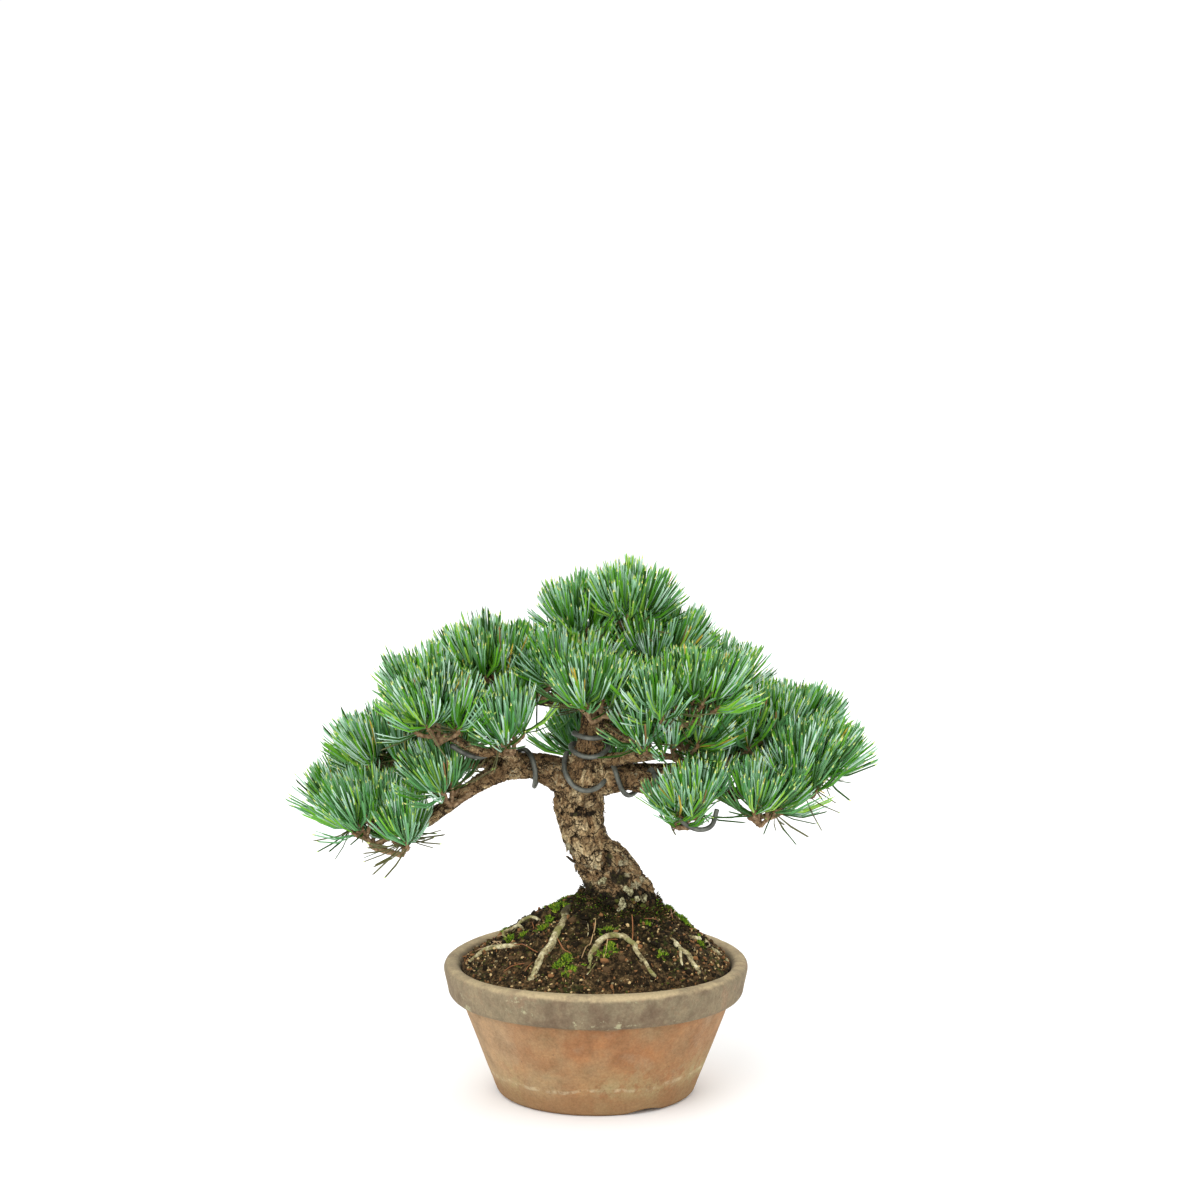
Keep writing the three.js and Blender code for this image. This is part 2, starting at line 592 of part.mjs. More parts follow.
// Surface roots lie in the soil, and soil and roots are cut clear of the trunk's foot.
let soil = soilSolid().subtract(timber);
for (const [name, { path, radii }] of Object.entries(ROOTS)) {
  const points = path.map(([r, degrees, lift]) => {
    const angle = radians(degrees);
    return new THREE.Vector3(r * Math.cos(angle), r * Math.sin(angle), soilHeight(r, angle) + lift);
  });
  const root = limbOf(name, points, radii, 5, points.length * 2 - 2);
  addNode(name, limbSolid(root).subtract(timber), COLOUR.root, 0.85);
  soil = soil.subtract(limbSolid(root, GAP));
}
addNode("soil", soil, COLOUR.soil, 1);
addNode("pot", potSolid(), COLOUR.clay, 0.85);

// The middle of the tree's outline stands over the origin, and the pot's foot on the ground.
const middle = new THREE.Box3().setFromObject(tree).getCenter(new THREE.Vector3());
tree.position.set(-middle.x, -middle.y, 0);

export default tree;
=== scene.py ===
"""A Japanese white pine kept as a bonsai, dressed on the frame of its solids.

Sizes are millimetres measured from the pot's axis on the ground, as in the part's source, and each
mesh is turned into metres in the shared frame as it is made.
"""
import math
from itertools import combinations

import bpy
import numpy as np
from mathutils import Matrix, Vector, noise


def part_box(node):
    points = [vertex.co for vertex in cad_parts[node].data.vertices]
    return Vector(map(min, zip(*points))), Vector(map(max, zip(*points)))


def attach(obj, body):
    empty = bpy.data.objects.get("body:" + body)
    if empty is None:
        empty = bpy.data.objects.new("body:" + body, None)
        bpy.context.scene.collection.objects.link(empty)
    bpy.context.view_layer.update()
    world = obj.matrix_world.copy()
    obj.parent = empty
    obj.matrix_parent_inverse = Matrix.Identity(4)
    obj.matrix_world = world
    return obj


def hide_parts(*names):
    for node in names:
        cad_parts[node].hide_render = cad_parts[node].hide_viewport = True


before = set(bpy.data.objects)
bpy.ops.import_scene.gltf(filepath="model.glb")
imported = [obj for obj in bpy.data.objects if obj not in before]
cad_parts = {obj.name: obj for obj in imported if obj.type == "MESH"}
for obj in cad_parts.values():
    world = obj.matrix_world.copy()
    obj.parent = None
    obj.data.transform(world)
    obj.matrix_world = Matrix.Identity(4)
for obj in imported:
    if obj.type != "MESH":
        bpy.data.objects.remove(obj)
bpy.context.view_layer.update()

pot_low, pot_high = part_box("pot")
AXIS = np.array([(pot_low[0] + pot_high[0]) / 2, (pot_low[1] + pot_high[1]) / 2, 0.0])
MM = 0.001
TURN = 2 * math.pi
GOLDEN = math.pi * (3 - math.sqrt(5))
UP = np.array([0.0, 0.0, 1.0])

# Blender's noise starts at a random place unless it is given a seed
noise.seed_set(11)

# The sizes of the source that the detail is worked out from
POT = {"rim": 91, "height": 80.5, "foot": 58.6, "wall": 81.5, "lip": 8.6, "warp": 1.3}
BAND = {"foot": 60, "radius": 88.2}
FLOOR = {"under": 3.9, "top": 10.5, "drain": 14, "ring_in": 50, "ring_out": 56.5}
NOTCH = {"count": 3, "width": 26, "height": 3, "first": -60}
MOUND = {"edge": 76, "rise": 43, "reach": 82, "power": 1.7, "lean": 10, "lump": 1.3}
WIRE = {"radius": 1.5, "steps": 48, "slack": 0.4}
NEEDLE = {"length": 30.5, "open": 74, "half_width": 0.61}
SHOOT = {"length": 14, "twig": 1.5, "stem": 2.0}

TRUNK = {
    "points": [
        (13.5, 4, 108), (10.3, 2, 120), (5, 1, 134), (-4.5, -1, 150), (-8.5, -1, 165), (-10, -2, 179),
        (-7, -7, 196), (-3.5, -11, 212), (-1, -8, 227), (1.5, -3, 242), (5, 1, 258), (10, 2, 271),
        (14, 1, 281),
    ],
    "radii": [22, 20, 15.3, 12.2, 12.7, 15, 12, 8.4, 8.4, 6.6, 5, 3.8, 2.4],
    "steps": 24,
}

# Each bough: the limb it leaves, how far along that, its radius at foot and tip, and its way
BOUGHS = {
    "bough_left": ("trunk", 0.46, (11, 2.8), [
        (-24, -4, 194.5), (-39, -6, 199), (-54, -10, 198), (-66, -14, 192), (-79, -18, 184),
        (-102, -24, 167),
    ]),
    "bough_left_rear": ("bough_left", 0.88, (2.9, 1.7), [(-106, -10, 171), (-132, 6, 166)]),
    "bough_left_mid": ("bough_left", 0.78, (3.2, 1.8), [(-90, -8, 187), (-113, 3, 192)]),
    "bough_left_back": ("bough_left", 0.48, (5, 2.4), [(-58, 10, 199), (-82, 34, 190)]),
    "bough_left_shelf": ("bough_left", 0.46, (5.2, 2.4), [
        (-48, -22, 208), (-55, -31, 213.5), (-68, -36.5, 215), (-86, -40, 225),
    ]),
    "bough_left_high": ("bough_left_shelf", 0.57, (3.4, 1.9), [(-60, -24, 228), (-62.5, -10, 245)]),
    "bough_back_left": ("trunk", 0.71, (4.2, 2.1), [(-12, 12, 233), (-36, 30, 231)]),
    "bough_front": ("trunk", 0.66, (3.8, 2.2), [(-2, -19, 232), (-2, -29, 236)]),
    "bough_apex_right": ("trunk", 0.86, (3, 1.8), [(17, 4, 258), (28, 5, 257)]),
    "bough_right_front": ("trunk", 0.66, (4, 2), [(11, -17, 222), (24, -26, 219.5), (47, -31, 230)]),
    "bough_right_upper": ("trunk", 0.53, (5.4, 2.6), [(12, -11, 204.5), (38, -18, 208.5)]),
    "bough_right_high_back": ("trunk", 0.68, (4.4, 2.1), [(20, 10, 226), (52, 27, 228)]),
    "bough_back": ("trunk", 0.7, (4.4, 2.1), [(2, 16, 232), (3, 43, 230)]),
    "bough_back_low": ("trunk", 0.47, (6.4, 2.7), [(-4, 20, 187), (2, 54, 185)]),
    "bough_right": ("trunk", 0.46, (8.4, 2.4), [
        (14, -8, 192), (34, -13, 189.5), (60, -15, 186), (88, -11, 184), (114, -6, 185.5),
    ]),
    "bough_right_low": ("bough_right", 0.42, (3.4, 2.1), [(43, -20, 182), (52, -24, 175.5)]),
    "bough_right_outer": ("bough_right", 0.68, (2.8, 1.8), [(82, -16, 178), (90, -17, 171.5)]),
    "bough_right_shelf": ("bough_right", 0.6, (3.4, 1.9), [(70, -4, 196), (86, 8, 205)]),
    "bough_right_back": ("trunk", 0.45, (6, 2.4), [(18, 13, 192), (62, 38, 189)]),
}

# Each mass of needles: the limb it grows from, how far along, and its clumps with their middle,
# number of shoots and spread. The masses are seeded one after another from the first.
FIRST_MASS_SEED = 11
MASSES = {
    "needles_left_tip": ("bough_left", 1, [(-132, -20, 165, 4, 13), (-114, -28, 158, 2, 8)]),
    "needles_left_rear": ("bough_left_rear", 1, [(-143, 9, 168, 3, 10)]),
    "needles_left_mid": ("bough_left_mid", 1, [(-122, 6, 197, 4, 14)]),
    "needles_left_inner": ("bough_left", 0.74, [(-85, -28, 188, 2, 8)]),
    "needles_left_back": ("bough_left_back", 1, [(-92, 44, 194, 5, 21)]),
    "needles_left_shelf": ("bough_left_shelf", 1, [(-92, -41, 229, 3, 10), (-96, -24, 238, 3, 10)]),
    "needles_left_shelf_inner": ("bough_left_shelf", 0.5, [(-48, -38, 221, 2, 7)]),
    "needles_left_high": ("bough_left_high", 1, [(-63, -9, 251, 4, 12)]),
    "needles_back_left": ("bough_back_left", 1, [(-44, 35, 236, 5, 18)]),
    "needles_front": ("bough_front", 1, [(-2, -37, 241, 3, 10)]),
    "needles_centre_high": ("trunk", 0.8, [(-15, -9, 253, 3, 11), (-35, 2, 246, 2, 8)]),
    "needles_apex": ("trunk", 1, [(18, 0, 284, 3, 7)]),
    "needles_apex_left": ("trunk", 0.9, [(-8, 5, 276, 3, 9)]),
    "needles_apex_right": ("bough_apex_right", 1, [(35, 5, 260, 3, 9)]),
    "needles_right_front": ("bough_right_front", 1, [(40, -38, 235, 2, 8), (60, -26, 240, 3, 10)]),
    "needles_centre_low": ("bough_right_front", 0.62, [(31, -34, 218, 2, 6)]),
    "needles_right_upper": ("bough_right_upper", 1, [(50, -19, 213, 3, 10)]),
    "needles_right_high_back": ("bough_right_high_back", 1, [(64, 32, 232, 5, 18)]),
    "needles_back": ("bough_back", 1, [(3, 56, 233, 5, 18)]),
    "needles_back_low": ("bough_back_low", 1, [(3, 70, 190, 5, 20)]),
    "needles_right_low": ("bough_right_low", 1, [(62, -27, 178, 2, 8), (47, -28, 169, 1, 0)]),
    "needles_right_outer": ("bough_right_outer", 1, [(97, -17, 173, 3, 8)]),
    "needles_right_tip": ("bough_right", 1, [(124, -6, 193, 4, 12), (122, -13, 183, 1, 0)]),
    "needles_right_shelf": ("bough_right_shelf", 1, [(95, 11, 211, 2, 9), (112, 25, 208, 4, 13)]),
    "needles_right_back": ("bough_right_back", 1, [(76, 46, 193, 5, 20)]),
}

# Each wire: the limb it is wound on, from where to where, its turns, its start angle, how far it
# dips in front, and its tail
WIRES = {
    "wire_fork": ("trunk", 0.55, 0.53, 0.68, 255, 0.06, []),
    "wire_leader": ("trunk", 0.57, 0.65, 1.8, 200, 0.02, []),
    "wire_left": ("bough_left", 0.22, 0.44, 1.1, 180, 0, []),
    "wire_left_shelf": ("bough_left_shelf", 0.46, 0.95, 0.35, 235, 0, []),
    "wire_right": ("bough_right", 0.16, 0.42, 1.2, 260, 0, []),
    "wire_right_low": ("bough_right_low", 0.2, 0.45, 1, 60, 0, [
        (46, -33, 177), (53, -35, 170.5), (61, -35, 167.5), (68, -32, 169.5), (71, -29, 178),
    ]),
}

# Each surface root: distance from the axis, compass angle and lift at its points, and its radii
ROOTS = {
    "root_left_long": (
        [(15, -172, -0.6), (27, -133, 1), (40, -123, 0.9), (56, -123, 0.7), (71, -123, -0.6)],
        (2.8, 2.1),
    ),
    "root_front_arch": (
        [(61, -94, -1.2), (51, -91, 0.8), (44, -78, 1.2), (51, -67, 1), (59, -65, 0.8), (70, -60, -0.8)],
        (2.3, 1.2),
    ),
    "root_right_front": ([(48, -30, -0.8), (57, -35, 0.7), (66, -35, 0.9), (76, -37, -1)], (1.4, 1.9)),
    "root_right": ([(56, -18, -0.8), (64, -12, 0.6), (72, -6, 0.5), (79, 0, -0.8)], (1.3, 1.2)),
    "root_left": ([(53, -146, -1), (60, -154, 0.8), (68, -167, 0.5), (76, -173, -0.8)], (1.9, 1.2)),
}

# Thin bare roots that rise from the soil and dip into it again, each with its radius
ROOTLETS = [
    ([(54, -172, -1), (55, -178, 2.2), (50, -178, 3.8), (46, -171, 2.8), (43, -165, -1)], 1.1),
    ([(49, 178, -1), (45, 178, 2.4), (39, -176, 2.6), (33, -172, -1)], 1.2),
    ([(60, -35, 0.8), (65, -40, 0.6), (69, -43, -1)], 0.9),
    ([(31, -104, -0.6), (33, -99, 0.8), (36, -97, 0.7), (40, -97, -0.6)], 0.5),
    ([(55, -88, -0.4), (61, -91, 0.5), (68, -95, -0.4)], 0.45),
    ([(58, 60, -1), (50, 68, 1.4), (44, 80, 1), (40, 92, -1)], 1.3),
]


def unit(vectors):
    return vectors / np.maximum(np.linalg.norm(vectors, axis=-1, keepdims=True), 1e-9)


def smooth(values):
    held = np.clip(values, 0, 1)
    return held * held * (3 - 2 * held)


def turns_of(count):
    """Angles spaced evenly round a full turn."""
    return np.arange(count) * TURN / count


def compass(angle):
    """Level directions at compass angles."""
    return np.stack([np.cos(angle), np.sin(angle), np.zeros(len(angle))], axis=-1)


def around(fronts, sides, angle):
    """Directions out of a curve, at each place along it and each angle round it."""
    return np.cos(angle)[None, :, None] * fronts[:, None] + np.sin(angle)[None, :, None] * sides[:, None]


def fanned(axis, turn):
    """Directions square to an axis, one at each angle round it."""
    side = unit(np.cross([1.0, 0, 0], axis))
    other = np.cross(axis, side)
    return np.cos(turn)[:, None] * side + np.sin(turn)[:, None] * other


def dice(seed):
    """The source's seeded random numbers."""
    state = seed

    def roll():
        nonlocal state
        state = (state * 1664525 + 1013904223) & 0xFFFFFFFF
        return state / 4294967296

    return roll


class Spine:
    """A smooth curve through points, evenly timed between them."""

    def __init__(self, points):
        p = np.array(points, float)
        self.spans = len(p) - 1
        self.padded = np.vstack([2 * p[0] - p[1], p, 2 * p[-1] - p[-2]])

    def at(self, t):
        place = np.clip(np.asarray(t, float), 0, 1) * self.spans
        k = np.minimum(place.astype(int), self.spans - 1)
        w = (place - k)[..., None]
        a, b, c, d = (self.padded[k + i] for i in range(4))
        rise = a - 2.5 * b + 2 * c - d / 2
        return b + w * (c - a) / 2 + w**2 * rise + w**3 * (1.5 * b - 1.5 * c + d / 2 - a / 2)

    def way(self, t):
        t = np.asarray(t, float)
        return unit(self.at(np.minimum(t + 1e-4, 1)) - self.at(np.maximum(t - 1e-4, 0)))

    def length(self, steps):
        return np.linalg.norm(np.diff(self.at(np.linspace(0, 1, steps)), axis=0), axis=1).sum()


def frames_along(ways):
    """A front and a side direction at each place, carried along the curve without twisting."""
    fronts = np.empty_like(ways)
    front = np.array([0.0, -1.0, 0.0])
    for k, way in enumerate(ways):
        front = unit(front - way * front.dot(way))
        fronts[k] = front
    return fronts, np.cross(ways, fronts)


def thickness(radii, t):
    """The radius at each place, between radii spaced evenly along a curve."""
    return np.interp(t, np.linspace(0, 1, len(radii)), radii)


class Limb:
    def __init__(self, points, radii, steps):
        self.spine = Spine(points)
        self.radii = radii
        t = np.linspace(0, 1, steps + 1)
        self.middle = self.spine.at(t)
        self.radius = thickness(radii, t)
        self.steps = steps
        self.fronts, self.sides = frames_along(self.spine.way(t))

    def between(self, values, t):
        """What is given at the limb's rings, read between them."""
        place = np.asarray(t * self.steps)
        row = np.minimum(place.astype(int), self.steps - 1)
        part = (place - row)[..., None]
        return values[row] * (1 - part) + values[row + 1] * part


def sheet_faces(rows, across, closed=True):
    """Four-sided faces over a grid of points, row by row, closed round or open."""
    columns = across if closed else across - 1
    row, column = np.meshgrid(np.arange(rows - 1), np.arange(columns), indexing="ij")
    low, column = row.ravel() * across, column.ravel()
    after = (column + 1) % across
    return np.stack([low + column, low + after, low + across + after, low + across + column], axis=1)


def copies(faces, corners, count):
    """The faces of a small form, for many copies whose points follow one another."""
    return (np.array(faces)[None] + corners * np.arange(count)[:, None, None]).reshape(-1, 3)


class Heap:
    """Points and faces of one piece, gathered from its parts.

    Each face has a material number, and the points may have values that the material reads.
    """

    def __init__(self):
        self.points = []
        self.faces = {3: [], 4: []}
        self.looks = {3: [], 4: []}
        self.values = {}
        self.count = 0

    def add(self, points, faces, look=0, **values):
        points = np.asarray(points, float).reshape(-1, 3)
        sides = faces.shape[1]
        self.points.append(points)
        self.faces[sides].append(faces + self.count)
        self.looks[sides].append(np.broadcast_to(look, len(faces)))
        for label, numbers in values.items():
            self.values.setdefault(label, []).append(np.ravel(numbers))
        self.count += len(points)

    def value(self, label):
        return np.concatenate(self.values[label])

    def piece(self, name, materials, nodes, slot, rounded=True, **values):
        """The heap as an object in the shared frame, riding on the body and standing for its nodes."""
        faces = {sides: np.concatenate(rows) for sides, rows in self.faces.items() if rows}
        looks = np.concatenate([np.concatenate(self.looks[sides]) for sides in faces])
        corners = np.concatenate([rows.ravel() for rows in faces.values()])
        sizes = np.concatenate([np.full(len(rows), sides) for sides, rows in faces.items()])
        mesh = bpy.data.meshes.new(name)
        mesh.vertices.add(self.count)
        mesh.vertices.foreach_set("co", (np.concatenate(self.points) * MM + AXIS).ravel())
        mesh.loops.add(len(corners))
        mesh.loops.foreach_set("vertex_index", corners.astype(np.int32))
        mesh.polygons.add(len(sizes))
        mesh.polygons.foreach_set("loop_start", (np.cumsum(sizes) - sizes).astype(np.int32))
        mesh.polygons.foreach_set("material_index", looks.astype(np.int32))
        mesh.polygons.foreach_set("use_smooth", np.full(len(sizes), rounded))
        for material in materials:
            mesh.materials.append(material)
        for label, numbers in values.items():
            mesh.attributes.new(label, "FLOAT", "POINT").data.foreach_set("value", numbers)
        mesh.update(calc_edges=True)
        mesh.validate()
        made = bpy.data.objects.new(name, mesh)
        bpy.context.scene.collection.objects.link(made)
        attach(made, "root")
        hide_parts(*nodes)


# Materials


class Output:
    """What one node of a paint gives: a number, a colour or a place."""

    def __init__(self, paint, socket):
        self.paint = paint
        self.socket = socket

    def math(self, operation, other):
        return self.paint.node("Math", {0: self, 1: other}, "Value", operation=operation)

    def __add__(self, other):
        return self.math("ADD", other)

    def __sub__(self, other):
        return self.math("SUBTRACT", other)

    def __mul__(self, other):
        return self.math("MULTIPLY", other)

    def span(self, low, high, first=0.0, last=1.0):
        """The number eased from one range over to another."""
        sockets = {"Value": self, "From Min": low, "From Max": high, "To Min": first, "To Max": last}
        return self.paint.node("MapRange", sockets, "Result", interpolation_type="SMOOTHSTEP")

    def ramp(self, *stops):
        """Colours over the number's range, each stop a place and its colour."""
        made = self.paint.node("ValToRGB", {"Fac": self}, "Color")
        elements = made.socket.node.color_ramp.elements
        while len(elements) < len(stops):
            elements.new(0.5)
        for element, (place, *colour) in zip(elements, stops):
            element.position = place
            element.color = (*colour, 1)
        return made


class Paint:
    """A material made of nodes."""

    def __init__(self, name, roughness, specular=0.3):
        self.material = bpy.data.materials.new(name)
        self.material.use_nodes = True
        self.tree = self.material.node_tree
        self.shader = self.tree.nodes["Principled BSDF"]
        self.set(self.shader, "Roughness", roughness)
        self.set(self.shader, "Specular IOR Level", specular)
        self.where = self.node("TexCoord", {}, "Object")

    def set(self, node, socket, value):
        """Links the output of another node, or sets a plain value."""
        held = node.inputs[socket]
        if isinstance(value, Output):
            self.tree.links.new(value.socket, held)
        else:
            held.default_value = (*value, 1) if held.type == "RGBA" else value

    def node(self, kind, sockets, output, **settings):
        made = self.tree.nodes.new("ShaderNode" + kind)
        for name, value in settings.items():
            setattr(made, name, value)
        for socket, value in sockets.items():
            self.set(made, socket, value)
        return Output(self, made.outputs[output])

    def noise(self, scale, detail=5.0, rough=0.6, where=None):
        sockets = {"Vector": where or self.where, "Scale": scale, "Detail": detail, "Roughness": rough}
        return self.node("TexNoise", sockets, "Fac")

    def stretched(self, x, y, z):
        return self.node("Mapping", {"Vector": self.where, "Scale": (x, y, z)}, "Vector")

    def bent(self, scale, amount, where=None):
        """Places pushed to and fro, so that a pattern laid over them runs unevenly."""
        push = self.node("TexNoise", {"Vector": self.where, "Scale": scale, "Detail": 3.0}, "Color")
        sockets = {0: push, 1: (amount, amount, amount), 2: where or self.where}
        return self.node("VectorMath", sockets, "Vector", operation="MULTIPLY_ADD")

    def cells(self, scale, feature="DISTANCE_TO_EDGE", where=None):
        sockets = {"Vector": where or self.where, "Scale": scale}
        return self.node("TexVoronoi", sockets, "Distance", feature=feature)

    def mix(self, share, first, last, blend="MIX"):
        sockets = {0: share, 6: first, 7: last}
        return self.node("Mix", sockets, 2, data_type="RGBA", blend_type=blend)

    def tint(self, first, last):
        return self.mix(1.0, first, last, "MULTIPLY")

    def place(self, letter):
        return self.node("SeparateXYZ", {"Vector": self.where}, letter)

    def value(self, label):
        return self.node("Attribute", {}, "Fac", attribute_name=label)

    def colour(self, value):
        self.set(self.shader, "Base Color", value)

    def bump(self, height, distance, strength):
        sockets = {"Height": height, "Distance": distance, "Strength": strength}
        self.set(self.shader, "Normal", self.node("Bump", sockets, "Normal"))


def plain(name, colour, roughness=0.5, specular=0.35):
    paint = Paint(name, roughness, specular)
    paint.colour(colour)
    return paint.material


def bark_paint():
    """Grey-brown flaking plates, dark fissures between them with painted shade where the bark lies closed to
    the light, pale lichen, and nearly black patches: grime at the foot and painted shade in its creases and
    cracks.
    """
    paint = Paint("bark", 0.92, 0.2)
    depth = paint.value("depth")
    tone = (paint.noise(120, 5, 0.65) + paint.value("tone") * 0.3).ramp(
        (0.44, 0.3, 0.185, 0.09), (0.58, 0.43, 0.29, 0.15), (0.7, 0.56, 0.41, 0.225),
        (0.86, 0.74, 0.59, 0.355),
    )
    grain = paint.noise(820, 6, 0.85, paint.stretched(1, 1, 0.6)).ramp(
        (0.38, 0.3, 0.26, 0.22), (0.45, 0.8, 0.78, 0.74), (0.52, 1.07, 1.06, 1.02), (0.63, 1.5, 1.5, 1.42),
    )
    uneven = paint.bent(520, 0.003, paint.bent(130, 0.014))
    seams = paint.cells(100, where=uneven).span(0.022, 0.05, 0.05, 1)
    fine_seams = paint.cells(200, where=uneven).span(0.01, 0.06, 0.4, 1)
    colour = paint.mix(seams * fine_seams, (0.04, 0.025, 0.012), paint.tint(tone, grain))
    # Painted shade: nearly black where the bark lies closed to the light, in fissures, hollows, cracks and on
    # the large flakes
    colour = paint.mix(depth.span(-0.1, 0.22), (0.03, 0.019, 0.009), colour)
    # Painted nearly black where the grime and shade patches lie: grime at the foot, painted shade in the
    # creases and along the cracks
    grime = (paint.value("grime") + paint.noise(200, 5, 0.75)).span(0.68, 0.88, 0, 0.95)
    grime_and_shade_colour = paint.mix(paint.noise(330, 4).span(0.5, 0.62), (0.02, 0.014, 0.008), (0.075, 0.07, 0.02))
    colour = paint.mix(grime, colour, grime_and_shade_colour)
    patch = (paint.value("lichen") + paint.noise(260, 6, 0.75) * 1.5).span(1.06, 1.26)
    strewn = (paint.noise(70, 3) + paint.noise(420, 5, 0.7)).span(1.15, 1.22, 0, 0.5)
    pale = paint.noise(420, 5, 0.8).ramp(
        (0.4, 0.12, 0.09, 0.045), (0.48, 0.42, 0.36, 0.21), (0.62, 0.72, 0.66, 0.43),
    )
    colour = paint.mix(patch.math("MAXIMUM", strewn) * depth.span(0.2, 0.7), colour, pale)
    low = paint.place("Z") - paint.noise(60, 4) * 0.03
    earthy = paint.tint(colour, (0.3, 0.28, 0.18))
    paint.colour(paint.mix(low.span(0.096, 0.116), earthy, colour))
    rough = paint.noise(1500, 4, 0.7) + paint.noise(620, 6, 0.8)
    paint.bump(rough + (seams + fine_seams), 0.0011, 1.0)
    return paint.material


def twig_paint():
    """Thin brown shoots with paler scars."""
    paint = Paint("twig", 0.75, 0.25)
    paint.colour(paint.noise(420, 5, 0.7).ramp(
        (0.34, 0.085, 0.05, 0.024), (0.52, 0.25, 0.155, 0.08), (0.7, 0.5, 0.37, 0.22),
    ))
    paint.bump(paint.noise(1300, 4), 0.0005, 0.7)
    return paint.material


def root_paint():
    """Pale bark of bare roots, with grey and ochre blotches, painted shade in the dips, and soil on the upper
    ends.
    """
    paint = Paint("root", 0.85, 0.25)
    tone = paint.noise(190, 6, 0.7).ramp(
        (0.36, 0.09, 0.065, 0.03), (0.44, 0.3, 0.25, 0.125), (0.54, 0.54, 0.48, 0.28),
        (0.68, 0.82, 0.77, 0.54),
    )
    fine = paint.noise(620, 5, 0.8).ramp((0.38, 0.4, 0.36, 0.3), (0.5, 1, 1, 1), (0.64, 1.3, 1.3, 1.26))
    moss = paint.noise(110, 4).span(0.49, 0.6, 0, 0.8)
    tone = paint.mix(moss, paint.tint(tone, fine), (0.2, 0.2, 0.055))
    # Painted shade in the dips, where the root's bark lies closed to the light
    tone = paint.mix(paint.value("depth").span(0.0, 0.3, 0.35, 1), (0.1, 0.075, 0.045), tone)
    buried = (paint.place("Z") + paint.noise(200, 4) * 0.012).span(0.116, 0.121, 0, 0.9)
    paint.colour(paint.mix(buried, tone, (0.04, 0.03, 0.012)))
    paint.bump(paint.noise(900, 5, 0.7), 0.0007, 0.8)
    return paint.material


def wire_paint():
    """Dull dark anodised wire with a light bloom and fine scuffs."""
    paint = Paint("wire", 0.5, 0.5)
    paint.set(paint.shader, "Metallic", 0.35)
    paint.colour(paint.noise(160, 5, 0.7).ramp(
        (0.35, 0.06, 0.062, 0.052), (0.55, 0.135, 0.14, 0.118), (0.75, 0.26, 0.265, 0.225),
    ))
    paint.set(paint.shader, "Roughness", paint.noise(380, 4).span(0.3, 0.7, 0.38, 0.62))
    paint.bump(paint.noise(1800, 3), 0.00012, 0.5)
    return paint.material


def soil_paint():
    """Dark crumbling soil with brown bark crumbs and pale grains."""
    paint = Paint("soil", 0.95, 0.15)
    tone = paint.noise(240, 7, 0.75).ramp(
        (0.38, 0.008, 0.005, 0.002), (0.5, 0.04, 0.025, 0.01), (0.6, 0.16, 0.1, 0.042),
        (0.72, 0.46, 0.32, 0.15),
    )
    green = paint.noise(45, 4).span(0.5, 0.66) * paint.noise(500, 3).span(0.45, 0.6)
    tone = paint.mix(green * 0.8, tone, (0.05, 0.064, 0.014))
    # Darker and a little greener in a round patch in front of the trunk's foot
    paint.colour(paint.mix(paint.value("damp"), tone, paint.tint(tone, (0.45, 0.52, 0.4))))
    paint.bump(paint.noise(700, 6, 0.75) + paint.cells(420), 0.0016, 0.9)
    return paint.material


